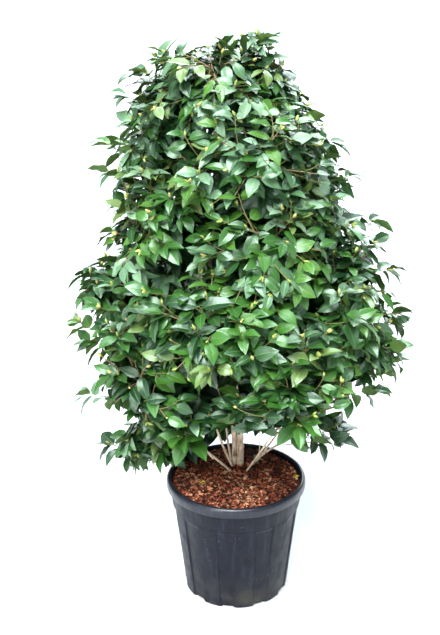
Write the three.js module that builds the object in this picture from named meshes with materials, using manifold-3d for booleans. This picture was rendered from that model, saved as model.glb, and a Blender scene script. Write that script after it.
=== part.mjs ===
// Camellia shrub grown as a full cone, in a plastic nursery container with a fluted wall.
// Millimetres, +Z up, front towards -Y. The origin is the middle of the container's flat underside.
import * as THREE from 'three';
import { mergeVertices } from 'three/addons/utils/BufferGeometryUtils.js';
import Module from 'manifold-3d';

const wasm = await Module();
wasm.setup();

const { degToRad, lerp, clamp } = THREE.MathUtils;
const up = new THREE.Vector3(0, 0, 1);
const fullTurn = 2 * Math.PI;
const goldenTurn = Math.PI * (3 - Math.sqrt(5));

// ---- Driving dimensions ----

const clearance = 0.3; // between pieces that touch
const weld = 0.05; // edges of foliage shorter than this are closed up

const container = {
  height: 418,
  baseRadius: 180,
  wallTopRadius: 227, // of the wall's slope, carried up to the rim
  wall: 5,
  floor: 14,
  lipRadius: 240,
  lipHeight: 31,
  collarBottom: 325,
  collarStep: 3,
  soften: 4, // of the base's, collar's and rim's corners
  panels: 10, // pressed into the wall, with plain bands as wide between them
  panelDepth: 3.5,
  panelFlank: degToRad(1.5),
  drainWidth: 40,
  drainDepth: 13,
  drainHeight: 9,
};

const medium = {
  surface: 376,
  moundTop: 400, // flat, where the stems rise
  moundTopRadius: 68,
  moundFootRadius: 150,
  shoulder: { out: 0.45, up: 0.62 }, // of the mound's way from its top to its foot, and of its height
  sides: 40,
};

const stemFoot = new THREE.Vector3(14, 76, medium.moundTop);
const footSink = 10; // limbs start this far down and are cut flat at the ground

// Stem lines are offsets from the foot: nearly upright, with a lean to the front.
const trunk = {
  name: 'trunk',
  footRadius: 12.5,
  tipRadius: 4.5,
  flare: 1.25,
  flareHeight: 30,
  sides: 8,
  steps: 10,
  line: [[0, 0, 0], [0, -6, 150], [-14, -26, 420], [-16, -46, 760], [0, -52, 1050], [30, -56, 1300]],
};

const secondStem = {
  name: 'second_stem',
  footRadius: 8,
  tipRadius: 4.5,
  flare: 1.15,
  flareHeight: 26,
  sides: 7,
  steps: 9,
  line: [[-20, -2, 0], [-23, -8, 150], [-58, -22, 430], [-106, -36, 800], [-162, -15, 1060]],
};

const bough = {
  footRadius: 7,
  tipRadius: 4,
  sides: 5,
  steps: 4,
  rise: 0.8, // of its run, from the carrier to the heart of its mass
  sag: 0.12,
  belowTip: 15, // of the carrier, at least
  groundRing: 34, // round the stems' foot, for those of the skirt
};

const crown = {
  axis: new THREE.Vector3(0, 20, 0),
  // Hearts of the foliage masses: evenly round a ring at each height, shifted to the right, the ring's right and
  // front sides raised. The ball is the mass's own reach.
  tiers: [
    { name: 'skirt', height: 645, ring: 265, ball: 188, count: 5, turn: 162, shift: -8, right: 38, front: 62 },
    { name: 'lower', height: 845, ring: 325, ball: 245, count: 5, turn: 0, shift: 20, right: 0, front: 15 },
    { name: 'middle', height: 1070, ring: 305, ball: 240, count: 4, turn: 170, shift: 0, right: 10, front: 0 },
    { name: 'upper', height: 1310, ring: 235, ball: 235, count: 4, turn: 20, shift: 0, right: 20, front: 0 },
    { name: 'high', height: 1540, ring: 185, ball: 235, count: 3, turn: 166, shift: -18, right: -45, front: 0 },
    { name: 'top', height: 1742, ring: 105, ball: 185, count: 3, turn: 0, shift: -12, right: 8, front: 0 },
  ],
  // height, furthest leaf tip to the left, furthest leaf tip to the right
  outline: [
    [430, 420, 60],
    [500, 455, 180],
    [545, 450, 400],
    [640, 415, 340],
    [690, 430, 430],
    [740, 550, 520],
    [850, 500, 600],
    [1020, 575, 575],
    [1140, 525, 510],
    [1200, 440, 480],
    [1290, 400, 470],
    [1350, 410, 385],
    [1480, 430, 385],
    [1570, 430, 340],
    [1660, 390, 265],
    [1770, 350, 190],
    [1850, 230, 145],
    [1900, 130, 125],
  ],
  hem: { sides: 430, front: 680 }, // lowest leaf tips
};

const foliage = {
  entry: 0.55, // of the ball's radius: where a bough hands over to the mass's own stem
  stemPast: 0.3, // of the ball's radius, past the heart
  stemRadii: [4, 4, 3.6, 2.8],
  stemStraight: 12, // of its start, in line with the bough
  core: 0.35, // of the ball's radius
  topLift: 2, // rise of the top masses' way out, to 1 across
  directions: 20,
  inward: -0.4, // directions that point further inwards than this carry no twig
  inset: { sides: 42, top: 25, hem: 8 }, // from the crown's outline to the twigs' tips
  border: 1.5, // kept free on each side between two masses
  lightFromOutside: 0.75,
  lightFromAbove: 0.55,
};

const twigSize = {
  radius: 2.8,
  tipRadius: 2,
  roots: [0.25, 0.95], // of the mass's stem, between which the twigs leave it
  reach: [0.95, 1.05], // of the ball's radius, to the leaves' tips
  shortest: 0.4, // of its reach, however close the crown's outline is
  nodeLength: 18, // of the stretch under the bud that bears the leaves
  bend: 0.4, // of its length, where it arches by the next share
  arch: 0.18,
  budLength: 20,
  budRadius: 5.5,
  budBroadest: 0.4,
};

const leaf = {
  length: 128,
  width: 74,
  thickness: 4,
  broadest: 0.45,
  sag: 0.3,
  leans: [92, 58], // degrees off the twig, by turns
  tweaks: [0, -14, 14, -28, 28], // of the lean, tried until the leaf has room
  swings: [0, 20, -20], // of the leaf's way, round the twig, tried with each tweak
  standOut: 0.4, // of its way, straight off the twig, at least
};

// ---- Materials ----

const plastic = new THREE.MeshStandardMaterial({ color: 0x2b2f38, roughness: 0.55, metalness: 0 });
const coir = new THREE.MeshStandardMaterial({ color: 0x5a2f1c, roughness: 0.95, metalness: 0 });
const bark = new THREE.MeshStandardMaterial({ color: 0xa38c74, roughness: 0.85, metalness: 0 });
const greenery = new THREE.MeshStandardMaterial({ color: 0x2c5a32, roughness: 0.35, metalness: 0 });

// ---- Solids ----

function solidOf(geometry) {
  const bare = geometry.index ? geometry.toNonIndexed() : geometry.clone();
  bare.deleteAttribute('normal');
  bare.deleteAttribute('uv');
  const merged = mergeVertices(bare, 1e-4);
  return new wasm.Manifold(
    new wasm.Mesh({
      numProp: 3,
      vertProperties: merged.attributes.position.array,
      triVerts: new Uint32Array(merged.index.array),
    }),
  );
}

function meshOf(solid, name, material) {
  const { vertProperties, triVerts } = solid.getMesh();
  const geometry = new THREE.BufferGeometry();
  geometry.setAttribute('position', new THREE.BufferAttribute(vertProperties, 3));
  geometry.setIndex(new THREE.BufferAttribute(triVerts, 1));
  geometry.computeVertexNormals();
  const mesh = new THREE.Mesh(geometry, material);
  mesh.name = name;
  return mesh;
}

const coordinates = (vectors) => vectors.flatMap((vector) => vector.toArray());

function solidOfTriangles(corners) {
  const geometry = new THREE.BufferGeometry();
  geometry.setAttribute('position', new THREE.Float32BufferAttribute(corners, 3));
  return solidOf(geometry);
}

// A profile of [radius, height] pairs turned about Z.
function turned(profile, sides) {
  const lathe = new THREE.LatheGeometry(profile.map(([radius, z]) => new THREE.Vector2(radius, z)), sides);
  return lathe.rotateX(Math.PI / 2);
}

// The largest shell of a solid: loose crumbs and closed pockets are left out.
function largestShell(solid) {
  const { vertProperties, triVerts } = solid.getMesh();
  const owner = Array.from({ length: vertProperties.length / 3 }, (_, i) => i);
  const find = (i) => {
    let root = i;
    while (owner[root] !== root) root = owner[root];
    owner[i] = root;
    return root;
  };
  for (let t = 0; t < triVerts.length; t += 3) {
    owner[find(triVerts[t + 1])] = find(triVerts[t]);
    owner[find(triVerts[t + 2])] = find(triVerts[t]);
  }
  const shells = new Map();
  for (let t = 0; t < triVerts.length; t += 3) {
    const shell = find(triVerts[t]);
    const corners = [...triVerts.slice(t, t + 3)].flatMap((i) => [...vertProperties.slice(3 * i, 3 * i + 3)]);
    shells.set(shell, (shells.get(shell) ?? []).concat(corners));
  }
  const solids = [...shells.values()].map(solidOfTriangles);
  return solids.reduce((best, next) => (next.volume() > best.volume() ? next : best));
}

// Corners round the points of a path, each ring with its own radius and turn; a radius of 0 gives one corner.
function ringsAlong(points, radii, sides, turns = points.map(() => 0)) {
  const along = new THREE.Vector3();
  const across = new THREE.Vector3();
  const side = new THREE.Vector3(1, 0, 0);
  return points.map((point, i) => {
    const before = points[Math.max(i - 1, 0)];
    const after = points[Math.min(i + 1, points.length - 1)];
    along.subVectors(after, before).normalize();
    if (i === 0 && Math.abs(along.x) > 0.9) {
      side.set(0, 1, 0);
    }
    side.addScaledVector(along, -side.dot(along)).normalize();
    across.crossVectors(along, side);
    return Array.from({ length: radii[i] > 0 ? sides : 1 }, (_, k) => {
      const turn = (fullTurn * k) / sides + turns[i];
      const corner = point.clone().addScaledVector(side, radii[i] * Math.cos(turn));
      return corner.addScaledVector(across, radii[i] * Math.sin(turn));
    });
  });
}

// Triangles from one ring to the next, or to the single corner that ends a limb.
function bandFaces(low, high) {
  return low.flatMap((corner, k) => {
    const next = (k + 1) % low.length;
    return high.length === 1
      ? [[corner, low[next], high[0]]]
      : [[corner, low[next], high[k]], [low[next], high[next], high[k]]];
  });
}

const endCap = (ring) => ring.slice(2).map((corner, k) => [ring[0], ring[k + 1], corner]);
const startCap = (ring) => endCap(ring).map(([a, b, c]) => [a, c, b]);

function limbSolid(points, radii, sides) {
  const rings = ringsAlong(points, radii, sides);
  const bands = rings.slice(1).flatMap((ring, i) => bandFaces(rings[i], ring));
  return solidOfTriangles(coordinates([...startCap(rings[0]), ...bands, ...endCap(rings.at(-1))].flat()));
}

// ---- Container and growing medium ----

const wallRadiusAt = (z) => lerp(container.baseRadius, container.wallTopRadius, z / container.height);
const innerRadiusAt = (z) => wallRadiusAt(z) - container.wall;

function makeContainer() {
  const { height, floor, lipRadius, lipHeight, collarBottom, collarStep, soften, panels } = container;
  const lipBottom = height - lipHeight;
  const shell = turned(
    [
      [0, 0],
      [wallRadiusAt(0) - soften, 0],
      [wallRadiusAt(soften), soften],
      [wallRadiusAt(collarBottom - soften), collarBottom - soften],
      [wallRadiusAt(collarBottom) + collarStep, collarBottom],
      [wallRadiusAt(lipBottom) + collarStep, lipBottom],
      [lipRadius - 2, lipBottom - 1],
      [lipRadius, height - soften],
      [lipRadius - soften, height],
      [innerRadiusAt(height) + soften, height],
      [innerRadiusAt(height), height - soften],
      [innerRadiusAt(floor), floor],
      [0, floor],
    ],
    4 * panels,
  );
  pressPanels(shell);
  const drains = Array.from({ length: panels }, (_, i) => makeDrain(((i + 0.25) * fullTurn) / panels));
  return solidOf(shell).subtract(wasm.Manifold.union(drains));
}

// Four columns of corners to a panel: its two edges stay, and the two between them go in and close to the edges.
function pressPanels(shell) {
  const { panels, panelDepth, panelFlank, collarBottom, wall, baseRadius } = container;
  const pitch = fullTurn / panels;
  const turns = [0, panelFlank, pitch / 2 - panelFlank, pitch / 2];
  const position = shell.attributes.position;
  for (let i = 0; i < position.count; i += 1) {
    const [x, y, z] = [position.getX(i), position.getY(i), position.getZ(i)];
    const radius = Math.hypot(x, y);
    const column = Math.round(((Math.atan2(y, x) + fullTurn) % fullTurn) / (pitch / 4));
    const onWall = z < collarBottom - 1 && radius > Math.max(wallRadiusAt(z) - wall / 2, baseRadius / 2);
    if (onWall) {
      const set = Math.floor(column / 4) * pitch + turns[column % 4];
      const pressed = radius - (column % 4 === 1 || column % 4 === 2 ? panelDepth : 0);
      position.setX(i, pressed * Math.cos(set));
      position.setY(i, pressed * Math.sin(set));
    }
  }
}

// The notch under a panel that lets water out at the edge of the base.
function makeDrain(turn) {
  const { baseRadius, drainWidth, drainDepth, drainHeight } = container;
  const notch = new THREE.BoxGeometry(2 * drainDepth, drainWidth, 2 * drainHeight);
  notch.translate(baseRadius, 0, 0);
  notch.rotateZ(turn);
  return solidOf(notch);
}

// What fills the container from its floor to a height, clear of its wall.
function fillTo(z) {
  const bottom = container.floor + clearance;
  const edge = (height) => innerRadiusAt(height) - clearance;
  return solidOf(turned([[0, bottom], [edge(bottom), bottom], [edge(z), z], [0, z]], medium.sides));
}

// The medium is level at the wall and mounded up round the stems.
function makeMedium() {
  const { surface, moundTop, moundTopRadius, moundFootRadius, shoulder, sides } = medium;
  const rise = moundTop - surface;
  const mound = turned(
    [
      [0, -rise],
      [moundFootRadius, -rise],
      [moundFootRadius, 0],
      [lerp(moundTopRadius, moundFootRadius, shoulder.out), rise * shoulder.up],
      [moundTopRadius, rise],
      [0, rise],
    ],
    sides / 2,
  );
  mound.translate(stemFoot.x, stemFoot.y, surface);
  return fillTo(surface).add(solidOf(mound).intersect(fillTo(container.height)));
}

// ---- Foliage masses and the space each one keeps ----

function makeMasses() {
  const masses = crown.tiers.flatMap((tier) =>
    Array.from({ length: tier.count }, (_, i) => {
      const turn = degToRad(tier.turn) + (fullTurn * i) / tier.count;
      const offset = new THREE.Vector3(
        tier.shift + tier.ring * Math.cos(turn),
        tier.ring * Math.sin(turn),
        tier.height + tier.right * Math.cos(turn) - tier.front * Math.sin(turn),
      );
      const lift = tier.name === 'top' ? foliage.topLift : 0;
      const outward = new THREE.Vector3(Math.cos(turn), Math.sin(turn), lift).normalize();
      const heart = crown.axis.clone().add(offset);
      return { name: `${tier.name}_foliage_${i + 1}`, tier: tier.name, ball: tier.ball, heart, outward };
    }),
  );
  masses.forEach((mass) => {
    mass.borders = masses.filter((other) => other !== mass).map((other) => borderBetween(mass, other));
  });
  return masses;
}

// A mass keeps the part of the crown that is nearer to its own heart than to any other.
function borderBetween(mass, other) {
  const away = other.heart.clone().sub(mass.heart).normalize();
  const middle = mass.heart.clone().add(other.heart).multiplyScalar(0.5);
  return { away, limit: middle.dot(away) - foliage.border };
}

const inOwnSpace = (point, mass) => mass.borders.every(({ away, limit }) => point.dot(away) < limit);

// The crown's reach from its axis at a point's height, between that to the left and that to the right.
function reachAt(point) {
  const rows = crown.outline;
  const z = clamp(point.z, rows[0][0], rows.at(-1)[0]);
  const next = Math.max(rows.findIndex(([height]) => height >= z), 1);
  const [low, high] = [rows[next - 1], rows[next]];
  const share = (z - low[0]) / (high[0] - low[0]);
  const turn = Math.atan2(point.y - crown.axis.y, point.x - crown.axis.x);
  return lerp(lerp(low[1], high[1], share), lerp(low[2], high[2], share), (1 + Math.cos(turn)) / 2);
}

const noInset = { sides: 0, top: 0, hem: 0 };

function inCrown(point, inset) {
  const radius = Math.hypot(point.x - crown.axis.x, point.y - crown.axis.y);
  const frontal = clamp((crown.axis.y - point.y) / Math.max(radius, 1), 0, 1);
  const hem = lerp(crown.hem.sides, crown.hem.front, frontal ** 2);
  const top = crown.outline.at(-1)[0];
  return point.z < top - inset.top && point.z > hem + inset.hem && radius < reachAt(point) - inset.sides;
}

// ---- Limbs ----

function makeStem({ name, footRadius, tipRadius, flare, flareHeight, sides, steps, line }) {
  const knots = line.map((offset) => new THREE.Vector3(...offset).add(stemFoot));
  const height = knots.at(-1).z - stemFoot.z;
  knots[0].z -= footSink;
  const points = new THREE.CatmullRomCurve3(knots).getPoints(steps);
  const radii = points.map((point) => {
    const rise = Math.max(point.z - stemFoot.z, 0);
    return lerp(footRadius, tipRadius, rise / height) * lerp(flare, 1, Math.min(rise / flareHeight, 1));
  });
  return { name, points, radii, sides };
}

function pointAtHeight(limb, z) {
  const next = clamp(limb.points.findIndex((point) => point.z >= z), 1, limb.points.length - 1);
  const [low, high] = [limb.points[next - 1], limb.points[next]];
  return low.clone().lerp(high, clamp((z - low.z) / (high.z - low.z), 0, 1));
}

function groundFoot(mass) {
  const away = mass.heart.clone().sub(stemFoot).setZ(0).setLength(bough.groundRing);
  return stemFoot.clone().add(away).setZ(stemFoot.z - footSink);
}

function carrierFoot(mass, carrier) {
  const near = pointAtHeight(carrier, mass.heart.z);
  const run = Math.hypot(mass.heart.x - near.x, mass.heart.y - near.y);
  return pointAtHeight(carrier, Math.min(mass.heart.z - bough.rise * run, carrier.points.at(-1).z - bough.belowTip));
}

// A bough runs out from its carrier and turns up to its mass. Those of the skirt rise straight from the ground.
function makeBough(mass, carrier) {
  const fromGround = mass.tier === 'skirt';
  const foot = fromGround ? groundFoot(mass) : carrierFoot(mass, carrier);
  const tip = mass.heart.clone().lerp(foot, (foliage.entry * mass.ball) / mass.heart.distanceTo(foot));
  const bend = foot.clone().lerp(tip, 0.5);
  if (!fromGround) {
    bend.z -= bough.sag * foot.distanceTo(tip);
  }
  const points = new THREE.QuadraticBezierCurve3(foot, bend, tip).getPoints(bough.steps);
  const radii = points.map((_, i) => lerp(bough.footRadius, bough.tipRadius, i / bough.steps));
  return { name: mass.name.replace('foliage', 'bough'), points, radii, sides: bough.sides };
}

function fattened({ points, radii, sides }) {
  return limbSolid(points, radii.map((radius) => radius + clearance), sides);
}

// Each limb is cut clear of those before it, and flat at the ground.
function limbMeshes(limbs) {
  const ground = medium.moundTop + clearance;
  return limbs.map(({ name, points, radii, sides }, i) => {
    const earlier = limbs.slice(0, i).map(fattened);
    const whole = limbSolid(points, radii, sides).trimByPlane([0, 0, 1], ground);
    return meshOf(largestShell(wasm.Manifold.difference([whole, ...earlier])), name, bark);
  });
}

// Shortest distance between two straight stretches, each given by its two ends.
function gapBetween(a, b, c, d) {
  const u = b.clone().sub(a);
  const v = d.clone().sub(c);
  const w = a.clone().sub(c);
  const [uu, uv, vv, uw, vw] = [u.dot(u), u.dot(v), v.dot(v), u.dot(w), v.dot(w)];
  const spread = uu * vv - uv * uv;
  const s = spread > 1e-9 ? clamp((uv * vw - vv * uw) / spread, 0, 1) : 0;
  const t = clamp((uv * s + vw) / vv, 0, 1);
  const nearest = clamp((uv * t - uw) / uu, 0, 1);
  return a.clone().addScaledVector(u, nearest).distanceTo(c.clone().addScaledVector(v, t));
}

function clearOfLimbs(from, to, halfWidth, limbs) {
  return limbs.every(({ points, radii }) =>
    points.slice(1).every((end, i) => gapBetween(from, to, points[i], end) > radii[i] + halfWidth + clearance),
  );
}

// ---- Twigs and leaves ----

// Seeded draws from 0 to 1, so that the shrub grows the same each time.
function seededDraw(seed) {
  let state = seed;
  return () => {
    state = (state + 0x6d2b79f5) | 0;
    let mixed = Math.imul(state ^ (state >>> 15), 1 | state);
    mixed = (mixed + Math.imul(mixed ^ (mixed >>> 7), 61 | mixed)) ^ mixed;
    return ((mixed ^ (mixed >>> 14)) >>> 0) / 2 ** 32;
  };
}

// Even directions over a ball, a golden turn apart, from its top to its bottom.
function ballDirections(count, startTurn) {
  return Array.from({ length: count }, (_, i) => {
    const z = 1 - (2 * (i + 0.5)) / count;
    const turn = startTurn + goldenTurn * i;
    return new THREE.Vector3(Math.cos(turn), Math.sin(turn), 0).multiplyScalar(Math.sqrt(1 - z * z)).setZ(z);
  });
}

// As far from the heart as the ball and the crown's outline let a twig go.
function twigTip(mass, way, reach) {
  const tip = mass.heart.clone();
  for (let out = reach; out > twigSize.shortest * reach; out -= 4) {
    tip.copy(mass.heart).addScaledVector(way, out);
    if (inCrown(tip, foliage.inset)) break;
  }
  return tip;
}

// The twigs of a mass: each leaves the mass's stem and arches to a tip near the ball's surface, with a bud on it.
function growTwigs(mass, stem, limbs, draw) {
  const { roots, reach, bend, arch, nodeLength, budLength, budBroadest, budRadius, radius } = twigSize;
  const along = stem.end.clone().sub(stem.start).normalize();
  const ways = ballDirections(foliage.directions, fullTurn * draw());
  const twigs = ways.map((way) => {
    const tip = twigTip(mass, way, mass.ball * lerp(...reach, draw()) - 0.5 * leaf.length);
    const root = stem.start.clone().lerp(stem.end, lerp(...roots, (1 + way.dot(along)) / 2));
    const crest = root.clone().lerp(tip, bend).addScaledVector(along, arch * root.distanceTo(tip));
    const middle = new THREE.QuadraticBezierCurve3(root, crest, tip).getPoint(0.5);
    const ahead = tip.clone().sub(middle).normalize();
    const beyond = (distance) => tip.clone().addScaledVector(ahead, distance);
    const points = [root, middle, beyond(-nodeLength), tip, beyond(budBroadest * budLength), beyond(budLength)];
    return { points, way, ahead, turn: fullTurn * draw() };
  });
  return twigs.filter(
    ({ points, way }) =>
      way.dot(mass.outward) > foliage.inward &&
      points[1].distanceTo(points[3]) > nodeLength + budLength &&
      points.every((point) => inOwnSpace(point, mass)) &&
      clearOfLimbs(points[0], points[1], radius, limbs) &&
      clearOfLimbs(points[1], points[5], budRadius, limbs),
  );
}

// A keeled blade that grows out of a triangle of bark: the triangle's corners, two edges and a keel, and a tip.
function makeBlade(base, along, light) {
  const root = base[0].clone().add(base[1]).add(base[2]).divideScalar(3);
  const face = light.clone().addScaledVector(along, -light.dot(along)).normalize();
  const side = new THREE.Vector3().crossVectors(face, along);
  const broadest = root.clone().addScaledVector(along, leaf.broadest * leaf.length);
  const ring = [
    broadest.clone().addScaledVector(side, leaf.width / 2),
    broadest.clone().addScaledVector(side, -leaf.width / 2),
    broadest.clone().addScaledVector(face, -leaf.thickness),
  ];
  const shifted = (shift) => base.map((_, i) => base[(i + shift) % 3]);
  const twist = (foot) => foot.reduce((sum, corner, i) => sum + corner.distanceTo(ring[i]), 0);
  const foot = [0, 1, 2].map(shifted).reduce((best, next) => (twist(next) < twist(best) ? next : best));
  return { foot, ring, root, tip: root.clone().addScaledVector(along, leaf.length) };
}

const bladeFaces = ({ foot, ring, tip }) => [...bandFaces(foot, ring), ...bandFaces(ring, [tip])];

const edgesOf = (triangles) => triangles.flatMap(([a, b, c]) => [[a, b], [b, c], [c, a]]);

const ray = new THREE.Ray();
const hit = new THREE.Vector3();

// Whether an edge goes through a triangle that it has no corner in common with.
function pierces(edges, triangles) {
  return edges.some(([from, to]) => {
    ray.origin.copy(from);
    ray.direction.subVectors(to, from).normalize();
    const length = from.distanceTo(to);
    return triangles.some(
      (abc) =>
        !abc.includes(from) &&
        !abc.includes(to) &&
        ray.intersectTriangle(...abc, false, hit) &&
        hit.distanceTo(from) < length,
    );
  });
}

const cross = (some, others) => pierces(edgesOf(some), others) || pierces(edgesOf(others), some);

const bladesCross = (one, other) =>
  one.root.distanceTo(other.root) < 2 * leaf.length && cross(bladeFaces(one), bladeFaces(other));

// The blade that has room on a triangle of bark, if any: face to the light, tip sagging.
function fitBlade(base, lean, twig, ownBark, mass, limbs, blades) {
  const { ahead, way, points } = twig;
  const light = way.clone().multiplyScalar(foliage.lightFromOutside).addScaledVector(up, foliage.lightFromAbove);
  const round = base[0].clone().add(base[1]).add(base[2]).divideScalar(3).sub(points[2]);
  round.addScaledVector(ahead, -round.dot(ahead)).normalize();
  const candidates = leaf.tweaks.flatMap((tweak) =>
    leaf.swings.map((swing) => {
      const angle = degToRad(lean + tweak);
      const along = ahead.clone().multiplyScalar(Math.cos(angle)).addScaledVector(round, Math.sin(angle));
      along.applyAxisAngle(ahead, degToRad(swing)).addScaledVector(up, -leaf.sag).normalize();
      return { along, ...makeBlade(base, along, light) };
    }),
  );
  return candidates.find(
    (blade) =>
      blade.along.dot(round) > leaf.standOut &&
      [...blade.ring, blade.tip].every((point) => inOwnSpace(point, mass)) &&
      inCrown(blade.tip, noInset) &&
      clearOfLimbs(blade.root, blade.tip, leaf.width / 2, limbs) &&
      !bladesCross(blade, blade) &&
      !cross(bladeFaces(blade), ownBark) &&
      !blades.some((other) => bladesCross(blade, other)),
  );
}

// A twig with its bud and leaves. The ring under the bud is turned a sixth, so that six triangles of bark look out
// evenly round the twig, and a leaf grows out of each that has room for one.
function growSpray(twig, mass, limbs, blades) {
  const { radius, tipRadius, budRadius } = twigSize;
  const turns = [0, 0, 0, 1, 1, 0].map((sixth) => twig.turn + (sixth * Math.PI) / 3);
  const rings = ringsAlong(twig.points, [radius, radius, tipRadius, tipRadius, budRadius, 0], 3, turns);
  const plain = [0, 1, 3, 4].flatMap((i) => bandFaces(rings[i], rings[i + 1]));
  const bearing = bandFaces(rings[2], rings[3]).flatMap((base, i) => {
    const blade = fitBlade(base, leaf.leans[i % 2], twig, plain, mass, limbs, blades);
    if (!blade) return [base];
    blades.push(blade);
    return bladeFaces(blade);
  });
  return solidOfTriangles(coordinates([...startCap(rings[0]), ...plain, ...bearing].flat()));
}

// The dense heart of a mass, kept to its own space.
function makeCore(mass) {
  const ball = new THREE.IcosahedronGeometry(foliage.core * mass.ball, 0);
  ball.translate(...mass.heart.toArray());
  return mass.borders.reduce(
    (core, { away, limit }) => core.trimByPlane(away.clone().negate().toArray(), -limit),
    solidOf(ball),
  );
}

// The mass's stem goes on from the tip of its carrier, through the heart.
function makeMass(mass, carrier, limbs, seed) {
  const [before, tip] = carrier.points.slice(-2);
  const ahead = tip.clone().sub(before).normalize();
  const start = tip.clone().addScaledVector(ahead, clearance);
  const end = mass.heart.clone().addScaledVector(mass.outward, foliage.stemPast * mass.ball);
  const line = [start, start.clone().addScaledVector(ahead, foliage.stemStraight), mass.heart, end];
  const stem = limbSolid(line, foliage.stemRadii, bough.sides);
  const blades = [];
  const twigs = growTwigs(mass, { start, end }, limbs, seededDraw(seed));
  const sprays = twigs.map((twig) => growSpray(twig, mass, limbs, blades));
  const fused = wasm.Manifold.union([stem, makeCore(mass), ...sprays]);
  const trimmed = wasm.Manifold.difference([fused, ...limbs.map(fattened)]);
  return meshOf(largestShell(trimmed.simplify(weld)), mass.name, greenery);
}

// ---- The whole shrub ----

const shrub = new THREE.Group();
shrub.add(meshOf(makeContainer(), 'container', plastic));
shrub.add(meshOf(makeMedium(), 'growing_medium', coir));

const masses = makeMasses();
const stems = [makeStem(trunk), makeStem(secondStem)];

// The two stems end in masses of their own, and every other mass has a bough from a stem: the first, unless the
// second is nearer by more than this.
const secondNearerBy = 20;
const stemEnds = new Map([
  ['top_foliage_1', stems[0]],
  ['high_foliage_1', stems[1]],
]);
const nearerStem = (mass) => {
  const [first, second] = stems.map((stem) => pointAtHeight(stem, mass.heart.z).distanceTo(mass.heart));
  return second < first - secondNearerBy ? stems[1] : stems[0];
};
const carriers = masses.map((mass) => stemEnds.get(mass.name) ?? makeBough(mass, nearerStem(mass)));
const limbs = [...stems, ...carriers.filter((carrier) => !stems.includes(carrier))];

limbMeshes(limbs).forEach((mesh) => shrub.add(mesh));
masses.forEach((mass, i) => shrub.add(makeMass(mass, carriers[i], limbs, i + 1)));

export default shrub;
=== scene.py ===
# Camellia grown as a leafy cone on several stems, in a fluted nursery container
# Metres, +Z up, front towards -Y, the origin under the middle of the container
import math
import bpy
import numpy as np
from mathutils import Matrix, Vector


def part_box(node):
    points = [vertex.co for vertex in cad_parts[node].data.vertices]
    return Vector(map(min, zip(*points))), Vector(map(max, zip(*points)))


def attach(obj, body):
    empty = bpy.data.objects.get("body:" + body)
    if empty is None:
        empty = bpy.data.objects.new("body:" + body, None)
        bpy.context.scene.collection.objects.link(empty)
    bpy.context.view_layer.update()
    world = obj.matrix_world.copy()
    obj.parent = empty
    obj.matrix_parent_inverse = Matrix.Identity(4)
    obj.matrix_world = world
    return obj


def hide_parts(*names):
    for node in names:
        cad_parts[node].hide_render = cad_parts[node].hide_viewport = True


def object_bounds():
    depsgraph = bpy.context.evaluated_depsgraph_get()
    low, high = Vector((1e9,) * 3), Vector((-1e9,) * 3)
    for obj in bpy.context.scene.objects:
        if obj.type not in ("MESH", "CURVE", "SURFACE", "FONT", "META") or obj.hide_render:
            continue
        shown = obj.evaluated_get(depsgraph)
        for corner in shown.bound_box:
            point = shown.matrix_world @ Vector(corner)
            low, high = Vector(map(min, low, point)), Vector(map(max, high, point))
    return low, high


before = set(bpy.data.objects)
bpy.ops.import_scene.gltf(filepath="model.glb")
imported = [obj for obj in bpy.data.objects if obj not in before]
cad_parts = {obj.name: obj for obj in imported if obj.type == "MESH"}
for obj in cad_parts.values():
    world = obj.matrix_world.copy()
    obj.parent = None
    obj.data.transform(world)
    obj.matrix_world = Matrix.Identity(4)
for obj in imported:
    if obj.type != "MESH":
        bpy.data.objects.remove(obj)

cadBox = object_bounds()
fullTurn = 2 * math.pi
goldenTurn = math.pi * (3 - math.sqrt(5))
up = np.array([0.0, 0.0, 1.0])


def unit(vectors):
    # each vector over its own length
    return vectors / np.maximum(np.linalg.norm(vectors, axis=-1, keepdims=True), 1e-12)


def blendTo(low, high, share):
    # low at share 0, high at share 1, in a straight line
    return low + (high - low) * share


def ease(share):
    # 3 s^2 - 2 s^3, with s held between 0 and 1
    held = np.clip(share, 0, 1)
    return held * held * (3 - 2 * held)


def polar(radius, turn, z):
    # radius * (cos(turn), sin(turn)) at height z
    return np.stack(np.broadcast_arrays(radius * np.cos(turn), radius * np.sin(turn), z), -1)


def ripple(points, size, seed, waves=10):
    # sum of sines of (point . seeded direction) / size, about -1 to 1
    rng = np.random.default_rng(seed)
    directions = unit(rng.normal(size=(waves, 3))) * rng.uniform(0.6, 1.5, (waves, 1))
    phases = rng.uniform(0, fullTurn, waves)
    sines = np.sin(points @ directions.T * fullTurn / size + phases)
    return sines.sum(-1) / math.sqrt(waves) * 0.7


def tint(red, green, blue):
    # screen values 0 to 255 to the linear values that shaders take
    share = np.array([red, green, blue]) / 255
    linear = np.where(share <= 0.04045, share / 12.92, ((share + 0.055) / 1.055) ** 2.4)
    return (*linear.tolist(), 1.0)


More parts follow.
